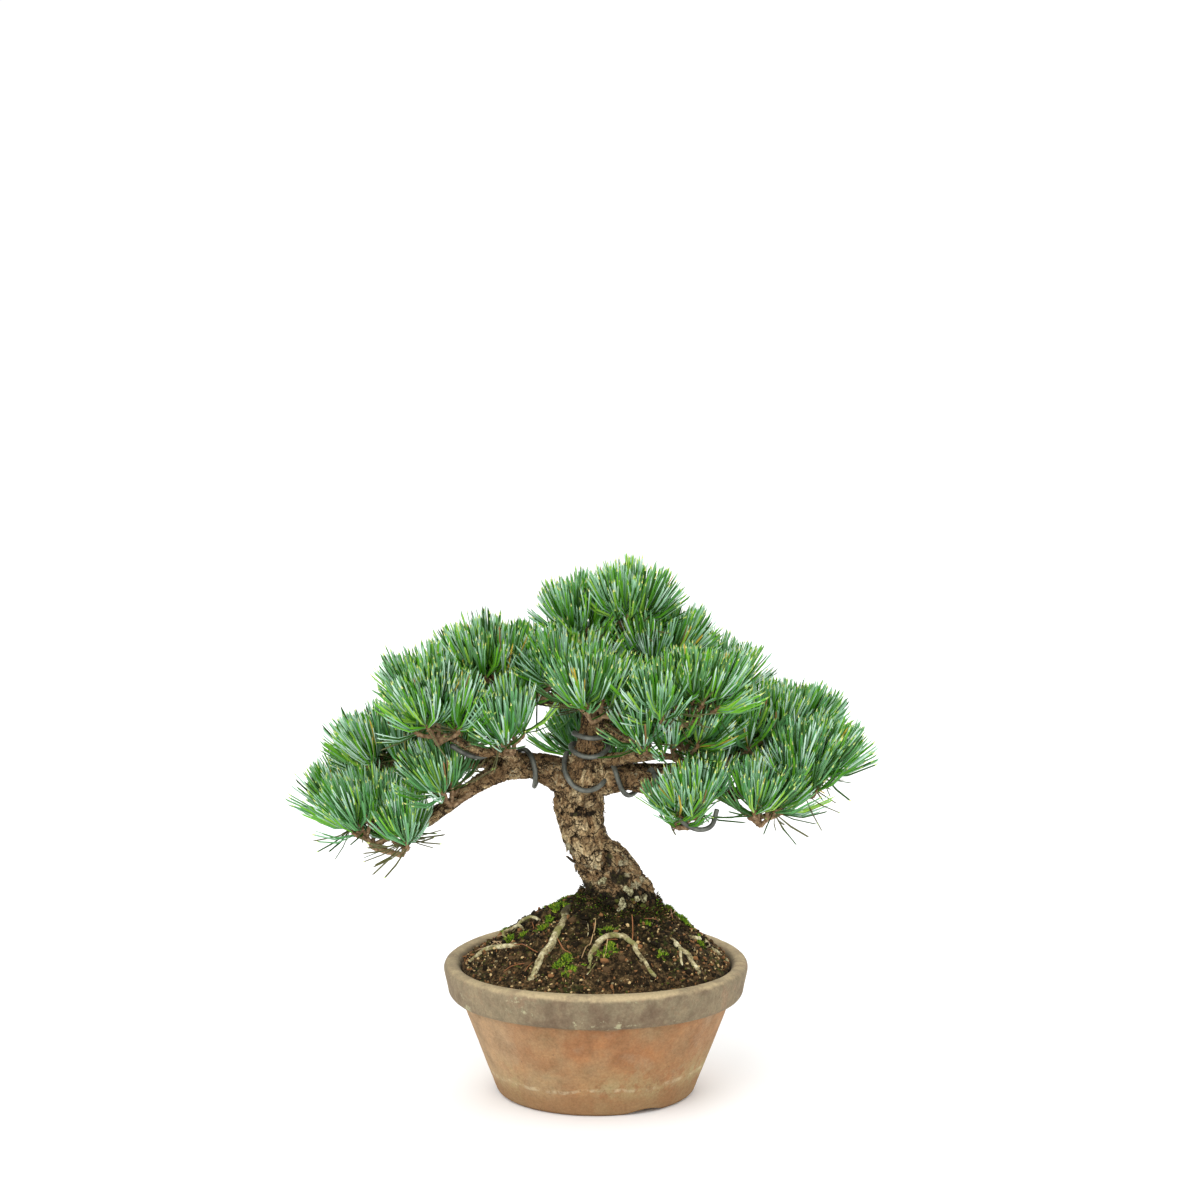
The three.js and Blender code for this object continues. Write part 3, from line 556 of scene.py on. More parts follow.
def clay_paint():
    """Unglazed clay: warm and mottled on the wall, with a lime line low down, and a weathered band. The sides
    seen from the front are paler and greyer, partly weathering and partly painted light, most on the left
    where the light falls.
    """
    paint = Paint("clay", 0.88, 0.22)
    height = paint.place("Z")
    low = height - paint.noise(22, 3) * 0.012
    wall = paint.noise(24, 5, 0.62).ramp(
        (0.32, 0.35, 0.24, 0.125), (0.44, 0.33, 0.19, 0.092), (0.56, 0.325, 0.152, 0.066),
        (0.72, 0.33, 0.215, 0.125),
    )
    x = paint.place("X")
    # Paler, greyer sides of the pot as seen from the front: partly weathering, partly painted light, most on
    # the left where the light falls
    side_light_and_weathering = x.span(-0.02, -0.062, 0, 0.75) + x.span(0.045, 0.085, 0, 0.4)
    blotch = paint.noise(85, 7, 0.75).ramp((0.34, 0.8, 0.81, 0.79), (0.5, 1, 1, 1), (0.66, 1.2, 1.18, 1.12))
    wall = paint.tint(paint.mix(side_light_and_weathering, wall, (0.42, 0.29, 0.165)), blotch)
    uneven = paint.noise(15, 3, 0.5, paint.stretched(1, 1, 0.4)).span(0.36, 0.6)
    algae = low.span(0.036, 0.004) * uneven * paint.noise(95, 6, 0.75).span(0.36, 0.58)
    wall = paint.mix(algae * 0.9, wall, (0.4, 0.335, 0.165))
    wall = paint.mix(low.span(0.012, 0.002) * 0.75, wall, (0.28, 0.155, 0.07))
    line = low.span(0.0092, 0.0106) * low.span(0.0128, 0.0112) * paint.noise(150, 5, 0.7).span(0.42, 0.62)
    wall = paint.mix(line * 0.5, wall, (0.6, 0.5, 0.32))
    band = paint.noise(40, 6, 0.7).ramp(
        (0.33, 0.14, 0.095, 0.06), (0.44, 0.19, 0.14, 0.088), (0.54, 0.235, 0.19, 0.118),
        (0.64, 0.26, 0.17, 0.105), (0.74, 0.34, 0.28, 0.17),
    )
    streaks = paint.noise(90, 7, 0.8, paint.stretched(1.2, 1.2, 0.7)).ramp(
        (0.35, 0.8, 0.8, 0.78), (0.5, 1, 1, 1), (0.67, 1.2, 1.19, 1.14),
    )
    band = paint.tint(paint.mix(side_light_and_weathering * 0.5, band, (0.3, 0.235, 0.145)), streaks)
    spots = (paint.noise(30, 2) + paint.noise(230, 5, 0.7)).span(1.13, 1.25)
    band = paint.mix(spots * 0.7, band, (0.46, 0.44, 0.27))
    edge = height + paint.noise(150, 3) * 0.003
    rim_wear_and_hanging_shade = edge.span(0.0792, 0.0815) * paint.noise(46, 5, 0.7).span(0.38, 0.56, 0.35, 1)
    band = paint.mix(rim_wear_and_hanging_shade, band, (0.46, 0.36, 0.21))
    colour = paint.mix(edge.span(0.0592, 0.0618), wall, band)
    specks = paint.cells(95, "F1").span(0.055, 0.035)
    colour = paint.mix(specks * 0.6, colour, (0.11, 0.07, 0.045))
    fine = paint.noise(620, 5, 0.75).ramp((0.34, 0.84, 0.84, 0.83), (0.66, 1.14, 1.14, 1.14))
    paint.colour(paint.tint(colour, fine))
    paint.bump(paint.noise(900, 5, 0.75) + paint.noise(160, 6, 0.7) * 1.5, 0.0008, 0.7)
    return paint.material


def lichen_paint():
    """Pale crusty lichen."""
    paint = Paint("lichen", 0.95, 0.1)
    paint.colour(paint.noise(430, 6, 0.8).ramp(
        (0.41, 0.05, 0.04, 0.02), (0.49, 0.27, 0.24, 0.13), (0.61, 0.56, 0.54, 0.33),
    ))
    paint.bump(paint.noise(900, 5), 0.0012, 0.9)
    return paint.material


# Plain colours that are dealt out by spray. The last outer one is a painted shade for bundles that hang.
OUTER = [
    (0.02, 0.075, 0.003), (0.06, 0.245, 0.006), (0.14, 0.42, 0.02), (0.27, 0.52, 0.055), (0.1, 0.32, 0.1),
    (0.1, 0.1, 0.035),
]
INNER = [(0.15, 0.35, 0.13), (0.32, 0.56, 0.36), (0.54, 0.74, 0.6)]
TIPS = [(0.42, 0.58, 0.13), (0.64, 0.68, 0.22)]
FADED = [(0.55, 0.38, 0.05), (0.3, 0.15, 0.06)]
FIRST_TIP = len(OUTER) + len(INNER)
FIRST_FADED = FIRST_TIP + len(TIPS)


def needle_paints():
    kinds = {"outer": OUTER, "inner": INNER, "tip": TIPS, "faded": FADED}
    return [
        plain(f"needle_{kind}_{k}", tone, 0.5, 0.3)
        for kind, tones in kinds.items() for k, tone in enumerate(tones)
    ]


# Limbs

limbs = {"trunk": Limb(**TRUNK)}
for name, (origin, share, radii, way) in BOUGHS.items():
    points = [limbs[origin].spine.at(share), *way]
    limbs[name] = Limb(points, radii, len(points) * 2)

# Patches on the trunk: their middle and how far they spread. Lichen is pale. The other patches are painted
# nearly black: grime at the foot, and painted shade in the creases and along the cracks.
LICHEN = [
    ((24.5, -10, 127.5), (7, 9, 4)), ((15.5, -8, 141), (4, 8, 3)),
    ((-16, -7, 150), (3.5, 7, 7)), ((-2, -14, 140), (7, 6, 2.5)), ((19, -11, 134), (4, 7, 3)),
    ((23.7, -13.5, 120.5), (3.5, 7, 3.5)), ((28.5, -8.5, 119.5), (3.5, 7, 3.5)), ((28, -4, 131), (4, 9, 5)),
    ((30, 12, 118), (8, 10, 8)), ((2, 20, 126), (9, 9, 8)), ((12, 24, 116), (6, 9, 6)),
]
GRIME_AND_SHADE = [
    ((16, -12.5, 132.5), (8, 8, 6)), ((-6, -10, 124), (12, 12, 8)), ((5, -17.5, 120), (9, 10, 7)),
    ((17, -18, 122), (9, 8, 6)), ((27, -11, 113), (12, 12, 5)), ((10, -19, 112), (26, 12, 7)),
    ((-13, -13, 172), (6, 7, 2.6)), ((-2, -14, 172), (6, 7, 2.6)), ((7.6, -11, 145), (2.6, 6, 9)),
    ((20, 20, 112), (16, 12, 9)), ((-6, 16, 114), (12, 12, 9)), ((33, -2, 114), (7, 14, 9)),
    ((10.5, -14.5, 136), (4, 7, 7)), ((22, -13, 128.5), (3, 7, 2.5)), ((26, -11, 124), (2.2, 7, 4)),
]

# Broad plates that are paler than the bark around them
PLATES = [((-6, -12, 145.5), (12, 9, 10)), ((-3, -13, 131), (8, 8, 4)), ((-9, -12, 163), (9, 8, 7))]

# Deep cracks on the front of the trunk: the points each runs through, its depth and its half width
CRACKS = [
    ([(8.9, -6.1, 151.5), (7.9, -10.9, 146), (6, -13.5, 139.5), (1.5, -15, 136)], 2.2, 1.7),
    (
        [(-16.5, -8, 154.5), (-10, -12.5, 152), (-5, -13.3, 149.5), (1, -13.4, 146), (5.5, -12.6, 143)],
        1.2, 0.9,
    ),
    ([(-21, -9, 171.5), (-14, -14.5, 173), (-9, -16.2, 175.5), (-2, -14.5, 174), (2.5, -10, 170)], 2.0, 1.5),
    ([(-20.5, -6, 161), (-17.5, -9.5, 154), (-12, -11, 147), (-6, -13, 141), (-1, -14.5, 138)], 1.2, 0.9),
    ([(-9, -15.5, 173), (-8, -13.8, 164), (-4, -13.4, 157), (-2, -13.2, 150)], 1.0, 0.7),
    ([(-7, -11, 135), (-2, -14, 133), (3, -15.6, 136)], 2.0, 1.5),
    ([(0, -13, 168), (2, -11, 160), (5, -8.5, 154)], 1.0, 0.7),
]

# Shares of a limb's length: the trunk's flare, its rugged foot, and the flare of other limbs
TRUNK_FLARE = 0.22
RUGGED_FOOT = 0.26
LIMB_FLARE = 0.28
# How far bark may stand out from the trunk and from other limbs
TRUNK_MOST = 0.9
LIMB_MOST = 0.7
FLAKES = {"count": 150, "large_every": 6, "sunk": 1.7}


def cracked(points):
    """How deep the cracks cut in at each place, and how much of the light they keep out."""
    depth = np.zeros(points.shape[:-1])
    dark = np.zeros(points.shape[:-1])
    for path, deep, half in CRACKS:
        run = Spine(path).at(np.linspace(0, 1, 60))
        gap = np.linalg.norm(points[..., None, :] - run, axis=-1).min(axis=-1)
        near = np.exp(-((gap / half) ** 2))
        depth = np.maximum(depth, deep * near)
        dark = np.maximum(dark, near)
    return depth, dark


def trunk_swell(t, angle):
    flare = np.maximum(0, 1 - t / TRUNK_FLARE)
    buttress = smooth((0.228 - t) / 0.03) * (0.55 + 1.8 * t) * np.maximum(0, np.cos(angle - 1.75)) ** 2
    return 1 + 0.13 * flare * np.cos(3 * angle + 0.6) + 0.05 * np.sin(2 * angle + 14 * t) + 0.17 * buttress


def bark_height(q, rugged):
    """How far bark stands out at a place, how open it lies to the light, and its plate's own tone."""
    bent = q + noise.noise_vector(q * 0.8) * 0.6 + noise.noise_vector(q * 3.3) * 0.3
    near, seats = noise.voronoi(bent)
    plate = smooth((near[1] - near[0]) / 0.055)
    fine_near, fine_seats = noise.voronoi(bent * 2.7 + Vector((7, 3, 5)))
    flake = smooth((fine_near[1] - fine_near[0]) / 0.12)
    lift = noise.cell(seats[0] * 5.3)
    tone = 0.5 * lift + 0.5 * noise.cell(fine_seats[0] * 3.7)
    rough = noise.fractal(Vector((q.x * 9, q.y * 9, q.z * 6)), 0.6, 2.1, 6)
    raised = 0.4 * (lift - 0.5) + (0.22 + rugged) * (tone - 0.5)
    height = raised - 0.5 * (1 - plate) - (0.2 + 0.3 * rugged) * (1 - flake) + 0.5 * rough
    shown = plate * (0.75 + 0.25 * flake) + 0.5 * rough
    return min(height, 0.45 + 0.4 * rugged), float(shown), float(tone)


def bark_tube(heap, limb, cell, relief, seed, spacing, swell=None, knobs=0.55, flare=0.36):
    """A limb's skin: fine rings along its spine, each point moved in or out as its bark lies.

    Only the trunk has a swell of its own, a rugged foot and the cracks. Others flare at the foot.
    """
    length = limb.spine.length(200)
    rows = int(length / spacing)
    across = max(14, int(TURN * max(limb.radii) * 0.82 / spacing))
    t = np.linspace(0, 1, rows)
    angle = turns_of(across)
    middle = limb.spine.at(t)
    out = around(*frames_along(limb.spine.way(t)), angle)
    if swell:
        form = swell(t[:, None], angle)
    else:
        form = (1 + flare * np.maximum(0, 1 - t / LIMB_FLARE) ** 2)[:, None] * np.ones((1, across))
    thick = thickness(limb.radii, t)
    closing = np.clip((1 - t) * length / np.maximum(thick, 0.5), 0, 1)
    radius = thick[:, None] * form * np.sqrt(1 - (1 - closing) ** 2)[:, None]
    heights, shown, tone = np.zeros((3, rows, across))
    for k in range(rows):
        along = t[k] * length * 0.5 / cell
        amount = relief * min(1.0, radius[k].mean() / (relief * 5))
        low = min(1.0, 1.4 * max(0.0, 1 - t[k] / RUGGED_FOOT)) if swell else 0.0
        for n in range(across):
            turn = angle[n] + t[k] * length * 0.012
            x = math.cos(turn) * radius[k, n] / cell
            y = math.sin(turn) * radius[k, n] / cell
            q = Vector((x, y + seed * 9, along))
            height, shown[k, n], tone[k, n] = bark_height(q, 0.6 * low)
            lump = noise.noise(q * 0.5) * 0.8 * knobs + noise.noise(q * 1.5 + Vector((3, 1, 8))) * 1.2 * low
            heights[k, n] = amount * (height + lump)
    if swell:
        depth, dark = cracked(middle[:, None] + out * radius[..., None])
        heights -= depth
        shown -= dark
    most = TRUNK_MOST if swell else LIMB_MOST
    points = middle[:, None] + out * (radius + np.minimum(heights, most))[..., None]
    # The value named depth holds how open the bark lies to the light, which the paints turn into painted
    # shade
    heap.add(points, sheet_faces(rows, across), depth=shown, tone=tone)


def bark_flakes(heap, limb, swell, rng):
    """Thin plates of bark that have lifted from the trunk at one edge. A few are large."""
    count = FLAKES["count"]
    t = rng.uniform(0.06, 0.5, count)
    angle = rng.uniform(0, TURN, count)
    ways = limb.spine.way(t)
    steps = np.linspace(0, 1, 5)
    faces = np.vstack([sheet_faces(10, 3, False), [[27, 28, 1, 0], [28, 29, 2, 1]]])
    for k in range(count):
        front = unit(limb.between(limb.fronts, t[k]))
        side = np.cross(ways[k], front)
        out = math.cos(angle[k]) * front + math.sin(angle[k]) * side
        across = np.cross(ways[k], out)
        reach = thickness(limb.radii, t[k]) * swell(t[k], angle[k]) - FLAKES["sunk"]
        seat = limb.spine.at(t[k]) + out * reach
        large = k % FLAKES["large_every"] == 0
        length, wide, lift = rng.uniform(2.5, 6), rng.uniform(1.1, 2.6), rng.uniform(0.3, 1.0)
        if large:
            length, wide, lift = length * 1.4, wide * 1.3, lift + 0.8
        along = ways[k] * rng.choice([-1, 1], p=[0.8, 0.2]) + across * rng.uniform(-0.4, 0.4)
        rise = lift * steps**1.6 + 1.2 * np.minimum(1, steps * 3)
        spread = wide * (0.8 + 0.5 * np.sin(steps * 2.6 + rng.uniform(0, 2))) * (1 - 0.55 * steps**4)
        rows = []
        for thick in (0.35, -0.25):
            for s, high, half in zip(steps, rise, spread):
                middle = seat + along * length * s + out * (high + thick)
                rows.append([middle - across * half, middle + out * 0.25, middle + across * half])
        shade = [0.05, 0.2, 0.05] if large else [0.3, 0.9, 0.4]
        heap.add(
            rows[:5] + rows[:4:-1], faces,
            depth=np.tile(shade, 10), tone=np.full(30, rng.uniform(0.1, 0.75)),
        )


def patches(places, table):
    """How near each place is to the middle of a patch: 1 there, and 0 at its edge and beyond."""
    near = np.zeros(len(places))
    for at, size in table:
        near = np.maximum(near, 1 - np.linalg.norm((places - at) / size, axis=1))
    return near


def build_bark():
    rng = np.random.default_rng(5)
    paint = bark_paint()
    heap = Heap()
    bark_tube(heap, limbs["trunk"], 11, 1.9, 1, 0.5, trunk_swell)
    bark_flakes(heap, limbs["trunk"], trunk_swell, rng)
    places = np.concatenate(heap.points)
    tone = heap.value("tone") + 0.8 * np.minimum(patches(places, PLATES), 0.5)
    heap.piece(
        "trunk_bark", [paint], ["trunk"], "bark", depth=heap.value("depth"), tone=tone,
        lichen=patches(places, LICHEN), grime=patches(places, GRIME_AND_SHADE),
    )
    heap = Heap()
    for k, name in enumerate(BOUGHS):
        big = limbs[name].radii[0]
        spacing = 0.62 if big > 5 else 0.55
        bark_tube(heap, limbs[name], 2.2 + big * 0.3, 0.5 + big * 0.09, k + 2, spacing, knobs=0.9)
    depth, tone = heap.value("depth"), heap.value("tone")
    heap.piece("bough_bark", [paint], list(BOUGHS), "bark", depth=depth, tone=tone)


# Needles and twigs

# Needles to a bundle, bundles to a main shoot and to a side shoot, and scales to a shoot
BUNDLE = 5
BUNDLES = {"main": 25, "side": 7}
SCALES = 10

# Bundles that hang: how near the foot of the shoot, how many of those there, and the needles they keep
HANGING = {"below": 0.14, "odds": 0.5, "kept": 0.45}

# Shares of the needles with a pale tip and with the palest one, and faded ones, yellow or brown
PALE_TIPS = {"all": 0.32, "palest": 0.12}
FADING = {"all": 0.009, "brown": 0.004}

# The height above which needles are fresher, and the odds of the outer tones above it and below
FRESH_ABOVE = 225
FRESH_ODDS = [0.27, 0.29, 0.27, 0.13, 0.04]
OLDER_ODDS = [0.27, 0.24, 0.17, 0.1, 0.22]
INNER_ODDS = [0.4, 0.38, 0.22]


def shoots_of(at, count, spread, roll):
    """The source's growth rule for the shoots of a clump."""
    shoots = []
    phase = roll() * TURN
    for i in range(count):
        out = math.sqrt((i + 0.5) / count) if count > 1 else 0
        turn = phase + i * GOLDEN
        side = np.array([math.cos(turn) * out, math.sin(turn) * out, 0])
        foot = np.array(at, float) + side * spread
        foot[2] += (0.5 - out * out) * spread * 0.5 + (roll() - 0.5) * 3
        axis = np.array([foot[0] / 300, foot[1] / 260, 0]) + side * 0.6
        axis[2] = 1
        shoots.append((foot, unit(axis)))
    return shoots


def side_shoots(hub, foot, axis, rng):
    """Finer twigs that fork off the twig of a shoot and lean away from it."""
    made = []
    phase = rng.uniform(0, TURN)
    side = unit(np.cross(axis, [0.3, 0.9, 0.1]))
    other = np.cross(axis, side)
    for k in range(2):
        turn = phase + k * math.pi + rng.uniform(-0.5, 0.5)
        out = math.cos(turn) * side + math.sin(turn) * other
        start = hub + (foot - hub) * rng.uniform(0.45, 0.7)
        seat = foot + out * rng.uniform(5, 8) + axis * rng.uniform(0, 3)
        made.append((start, seat, unit(axis + out * rng.uniform(0.1, 0.35))))
    return made


def limb_gaps():
    """The ends and radii of the straight stretches that stand for trunk and boughs in clearances."""
    low = np.concatenate([limb.middle[:-1] for limb in limbs.values()])
    high = np.concatenate([limb.middle[1:] for limb in limbs.values()])
    radius = np.concatenate([np.maximum(limb.radius[:-1], limb.radius[1:]) for limb in limbs.values()])
    return low, high, radius * 1.03 + 0.6


STRETCHES = limb_gaps()


def is_clear(points):
    """Which rows of points stay outside every limb."""
    low, high, radius = STRETCHES
    clear = np.ones(points.shape[0], bool)
    span = high - low
    size = (span**2).sum(-1)
    for column in range(points.shape[1]):
        apart = points[:, column, None] - low
        share = np.clip((apart * span).sum(-1) / size, 0, 1)
        gap = np.linalg.norm(apart - share[..., None] * span, axis=-1)
        clear &= (gap > radius).all(axis=1)
    return clear


def sprays_of(foot, axis, core, count, reach, rng):
    """The bundles of a shoot: where each starts, its way, its bend, its length and if it hangs."""
    share = (np.arange(count) + rng.uniform(0.1, 0.9, count)) / count
    turn = rng.uniform(0, TURN) + np.arange(count) * GOLDEN + rng.normal(0, 0.2, count)
    radial = fanned(axis, turn)
    opened = np.radians(NEEDLE["open"]) * (1 - share) ** 0.7 + rng.normal(0, 0.07, count)
    hangs = (rng.uniform(size=count) < HANGING["odds"]) & (share < HANGING["below"])
    opened = np.where(hangs, opened + rng.uniform(0.15, 0.85, count), opened)
    way = radial * np.sin(opened)[:, None] + axis * np.cos(opened)[:, None]
    seat = foot + axis * (share * core)[:, None] + radial * (1.1 - 0.5 * share)[:, None]
    skyward = unit(axis + UP * 0.7)
    bend = (skyward - way * (way @ skyward)[:, None]) * np.where(hangs, 0.22, 0.54)[:, None]
    length = reach * (0.84 + 0.24 * rng.uniform(size=count)) * (1 - 0.1 * share)
    return seat, way, bend, length, hangs


def blade_form():
    """A needle's faces: two stretches and a tip, each with three sides, and the side of each face."""
    faces, sides = [], []
    for ring in (0, 3):
        for n in range(3):
            a, b = ring + n, ring + (n + 1) % 3
            faces += [[a, b, b + 3], [a, b + 3, a + 3]]
            sides += [n, n]
    for n in range(3):
        faces.append([6 + n, 6 + (n + 1) % 3, 9])
        sides.append(n)
    return np.array(faces), np.array(sides)


BLADE, BLADE_SIDE = blade_form()
IS_TIP = np.arange(len(BLADE)) >= len(BLADE) - 3


def needle_looks(high, hangs, spray, rng):
    """The material of each face of the needles: a green outer side, pale inner ones, some pale tips. Bundles
    that hang are dark on every side, a painted shade.
    """
    count = len(hangs)
    number = len(spray)
    odds = FRESH_ODDS if high > FRESH_ABOVE else OLDER_ODDS
    # Painted shade: bundles that hang take one of two dark outer tones on every side
    rim_wear_and_hanging_shade = (len(OUTER) - 1) * rng.integers(0, 2, count)
    tone = np.where(hangs, rim_wear_and_hanging_shade, rng.choice(len(odds), count, p=odds))
    pale = len(OUTER) + rng.choice(len(INNER), count, p=INNER_ODDS)
    outer = tone[spray]
    inner = np.where(hangs, tone, pale)[spray]
    tipped = rng.uniform(size=(number, 1))
    faded = rng.uniform(size=(number, 1))
    looks = np.where(BLADE_SIDE == 0, outer[:, None], inner[:, None])
    looks = np.where(IS_TIP & (tipped < PALE_TIPS["all"]), FIRST_TIP + (tipped < PALE_TIPS["palest"]), looks)
    return np.where(faded < FADING["all"], FIRST_FADED + (faded < FADING["brown"]), looks)


def needle_mesh(heap, seat, way, bend, length, hangs, rng):
    """Bundles of needles, each a three-sided blade.

    A bundle that hangs has lost most of its needles, and the rest stand wide.
    """
    count = len(seat)
    each = (count, BUNDLE)
    side = unit(np.cross(way, rng.normal(size=(count, 3))))
    other = np.cross(way, side)
    turn = rng.uniform(0, TURN, (count, 1)) + turns_of(BUNDLE) + rng.normal(0, 0.22, each)
    out = np.cos(turn)[..., None] * side[:, None] + np.sin(turn)[..., None] * other[:, None]
    apart = rng.uniform(0.03, 0.11, (count, 1, 1)) * rng.uniform(0.6, 1.4, (*each, 1))
    apart = np.where(hangs[:, None, None], apart * 4, apart)
    ways = unit(way[:, None] + out * apart)
    bends = bend[:, None] + out * 0.05 + rng.normal(0, 0.025, (*each, 3))
    lengths = (length[:, None] * rng.uniform(0.93, 1.03, each))[..., None]
    wide = NEEDLE["half_width"] * rng.uniform(0.85, 1.12, (*each, 1))
    wide = wide * np.where(hangs, 0.95, 1)[:, None, None]
    ends = seat[:, None] + ways * lengths + bends * lengths
    knees = seat[:, None] + ways * lengths * 0.5 + bends * lengths * 0.25
    keep = is_clear(np.stack([knees, ends], axis=2).reshape(-1, 2, 3)).reshape(each)
    keep &= ~hangs[:, None] | (rng.uniform(size=each) < HANGING["kept"])
    spray = np.broadcast_to(np.arange(count)[:, None], each)[keep]
    ways, bends, out, lengths, wide = (values[keep] for values in (ways, bends, out, lengths, wide))
    base = seat[spray] + out * 0.25
    rings = []
    for s, share in ((0.0, 0.62), (0.5, 1.0), (0.93, 0.85)):
        centre = base + ways * lengths * s + bends * lengths * s * s
        along = unit(ways + 2 * bends * s)
        outer = unit(out - along * (out * along).sum(-1, keepdims=True))
        across = np.cross(along, outer)
        half = wide * share
        rings += [
            centre + across * half + outer * half * 0.3, centre - across * half + outer * half * 0.3,
            centre - outer * half * 0.75,
        ]
    tip = base + ways * lengths + bends * lengths
    looks = needle_looks(seat[:, 2].mean(), hangs, spray, rng)
    heap.add(np.stack([*rings, tip], axis=1), copies(BLADE, 10, len(spray)), looks.ravel())


def twig(heap, points, radii, rng, rough=0.12, across=7):
    """A thin limb with uneven rings."""
    spine = Spine(points)
    rows = max(6, int(spine.length(20) / 1.2))
    t = np.linspace(0, 1, rows)
    out = around(*frames_along(spine.way(t)), turns_of(across))
    radius = thickness(radii, t)[:, None] * (1 + rng.normal(0, rough, (rows, across)))
    radius[-1] *= 0.25
    heap.add(spine.at(t)[:, None] + out * radius[..., None], sheet_faces(rows, across))


# The three sides of a small spike over a three-cornered foot
SPIKE = [[0, 1, 3], [1, 2, 3], [2, 0, 3]]


def scales(heap, foot, axis, core, rng):
    """Papery brown scales at the foot of a shoot, and the short sheaths that its bundles leave."""
    turn = rng.uniform(0, TURN, SCALES)
    share = rng.uniform(-0.25, 0.7, SCALES)
    out = fanned(axis, turn)
    across = np.cross(axis, out)
    seat = foot + axis * (share * core)[:, None] + out * 0.9
    way = unit(out * rng.uniform(0.5, 1.3, (SCALES, 1)) + axis)
    size = rng.uniform(1.8, 3.6, (SCALES, 1))
    half = across * (size * 0.24)
    corners = [seat + half, seat - half, seat + out * 0.5, seat + way * size]
    heap.add(np.stack(corners, axis=1), copies(SPIKE, 4, SCALES), 1)


def build_crown():
    paints = needle_paints()
    wood = Heap()
    for seed, (name, (origin, along, clumps)) in enumerate(MASSES.items(), FIRST_MASS_SEED):
        roll = dice(seed)
        rng = np.random.default_rng(seed)
        heap = Heap()
        start = limbs[origin].spine.at(along)
        parts = []
        for x, y, z, count, spread in clumps:
            hub = np.array([x, y, z - 2 - 0.7 * spread])
            sag = rng.normal(0, 0.8, 3)
            twig(wood, [start, (start + hub) / 2 + sag, hub], [SHOOT["stem"], SHOOT["stem"] * 0.85], rng)
            for foot, axis in shoots_of((x, y, z), count, spread, roll):
                parts.append((hub, foot, axis, SHOOT["length"] * 0.85, BUNDLES["main"], NEEDLE["length"]))
                for fork, seat, way in side_shoots(hub, foot, axis, rng):
                    parts.append((fork, seat, way, 6, BUNDLES["side"], NEEDLE["length"] * 0.86))
            start = hub
        for low, foot, axis, core, count, reach in parts:
            top = foot + axis * core
            bend = low + (foot - low) * 0.5 + (foot - low - axis * (foot - low).dot(axis)) * 0.15
            twig(wood, [low, bend, foot, top], [SHOOT["twig"], 1.3, 1.3, 0.8], rng)
            scales(wood, foot, axis, core, rng)
            needle_mesh(heap, *sprays_of(foot, axis, core, count, reach, rng), rng)
        heap.piece(name + "_sprays", paints, [name], "needles", rounded=False)
    husk = plain("husk", (0.33, 0.17, 0.075), 0.7, 0.2)
    wood.piece("twigs", [twig_paint(), husk], list(MASSES), "needles")


# Wires and roots


def smooth_tube(heap, middle, radius, across):
    """A round tube through places close together, with domed ends."""
    ways = unit(np.gradient(middle, axis=0))
    out = around(*frames_along(ways), turns_of(across))
    rings = list(middle[:, None] + out * radius)
    for end, sign in ((0, -1), (-1, 1)):
        for share in (0.75, 0.02):
            ring = middle[end] + ways[end] * radius * 0.35 * sign + out[end] * radius * share
            rings.insert(0 if sign < 0 else len(rings), ring)
    heap.add(rings, sheet_faces(len(rings), across))


def build_wires():
    paint = wire_paint()
    for name, (origin, first, last, turns, begin, dip, tail) in WIRES.items():
        limb = limbs[origin]
        share = np.linspace(0, 1, int(turns * WIRE["steps"]) + 1)
        angle = math.radians(begin) + TURN * turns * share
        t = first + (last - first) * share - dip * ((1 + np.cos(angle)) / 2) ** 2
        front = unit(limb.between(limb.fronts, t))
        side = unit(limb.between(limb.sides, t))
        reach = (thickness(limb.radii, t) * 1.05 + WIRE["radius"] + WIRE["slack"])[:, None]
        angle = angle[:, None]
        path = limb.between(limb.middle, t) + front * np.cos(angle) * reach + side * np.sin(angle) * reach
        if tail:
            loose = Spine([path[-8], path[-1], *tail]).at(np.linspace(1 / (len(tail) + 1), 1, 80))
            path = np.concatenate([path[:-1], loose])
        heap = Heap()
        smooth_tube(heap, path, WIRE["radius"], 14)
        heap.piece(name + "_coil", [paint], [name], "wire")


def soil_height(r, angle):
    """The source's height of the soil at a distance and compass angle from the pot's axis."""
    slope = 1 - (np.minimum(r, MOUND["reach"]) / MOUND["reach"]) ** MOUND["power"]
    lumps = 1.5 * np.sin(3 * angle + 0.7) * np.sin(r / 13) + 1.1 * np.sin(5 * angle + 2 + r / 9)
    fade = np.minimum(1, r / 20) * np.minimum(1, (MOUND["reach"] - r) / 12)
    lean = MOUND["lean"] * (r / MOUND["reach"]) * np.cos(angle) * slope
    x, y = r * np.cos(angle), r * np.sin(angle)
    clods = np.sin(x / 2.9 + 1.3 * np.sin(y / 7)) * np.sin(y / 2.7 + 1.1 * np.sin(x / 6))
    uneven = (lumps + MOUND["lump"] * clods) * np.maximum(0, fade)
    return MOUND["edge"] + MOUND["rise"] * slope + lean + uneven


def ground(place):
    """The source's height of the soil under places."""
    return soil_height(np.hypot(place[:, 0], place[:, 1]), np.arctan2(place[:, 1], place[:, 0]))


def root_way(path, seed, far=1.9):
    """The points of a root over the mound, shaken a little to and fro."""
    points = []
    for r, degrees, lift in path:
        angle = math.radians(degrees)
        points.append((r * math.cos(angle), r * math.sin(angle), float(soil_height(r, angle)) + lift))
    spine = Spine(points)
    way = spine.at(np.linspace(0, 1, spine.spans * 3 + 1))
    for k in range(1, len(way) - 1):
        way[k] += np.array(noise.noise_vector(Vector((k * 0.71, seed, 0.3)))) * (far, far, 0.5)
    return way


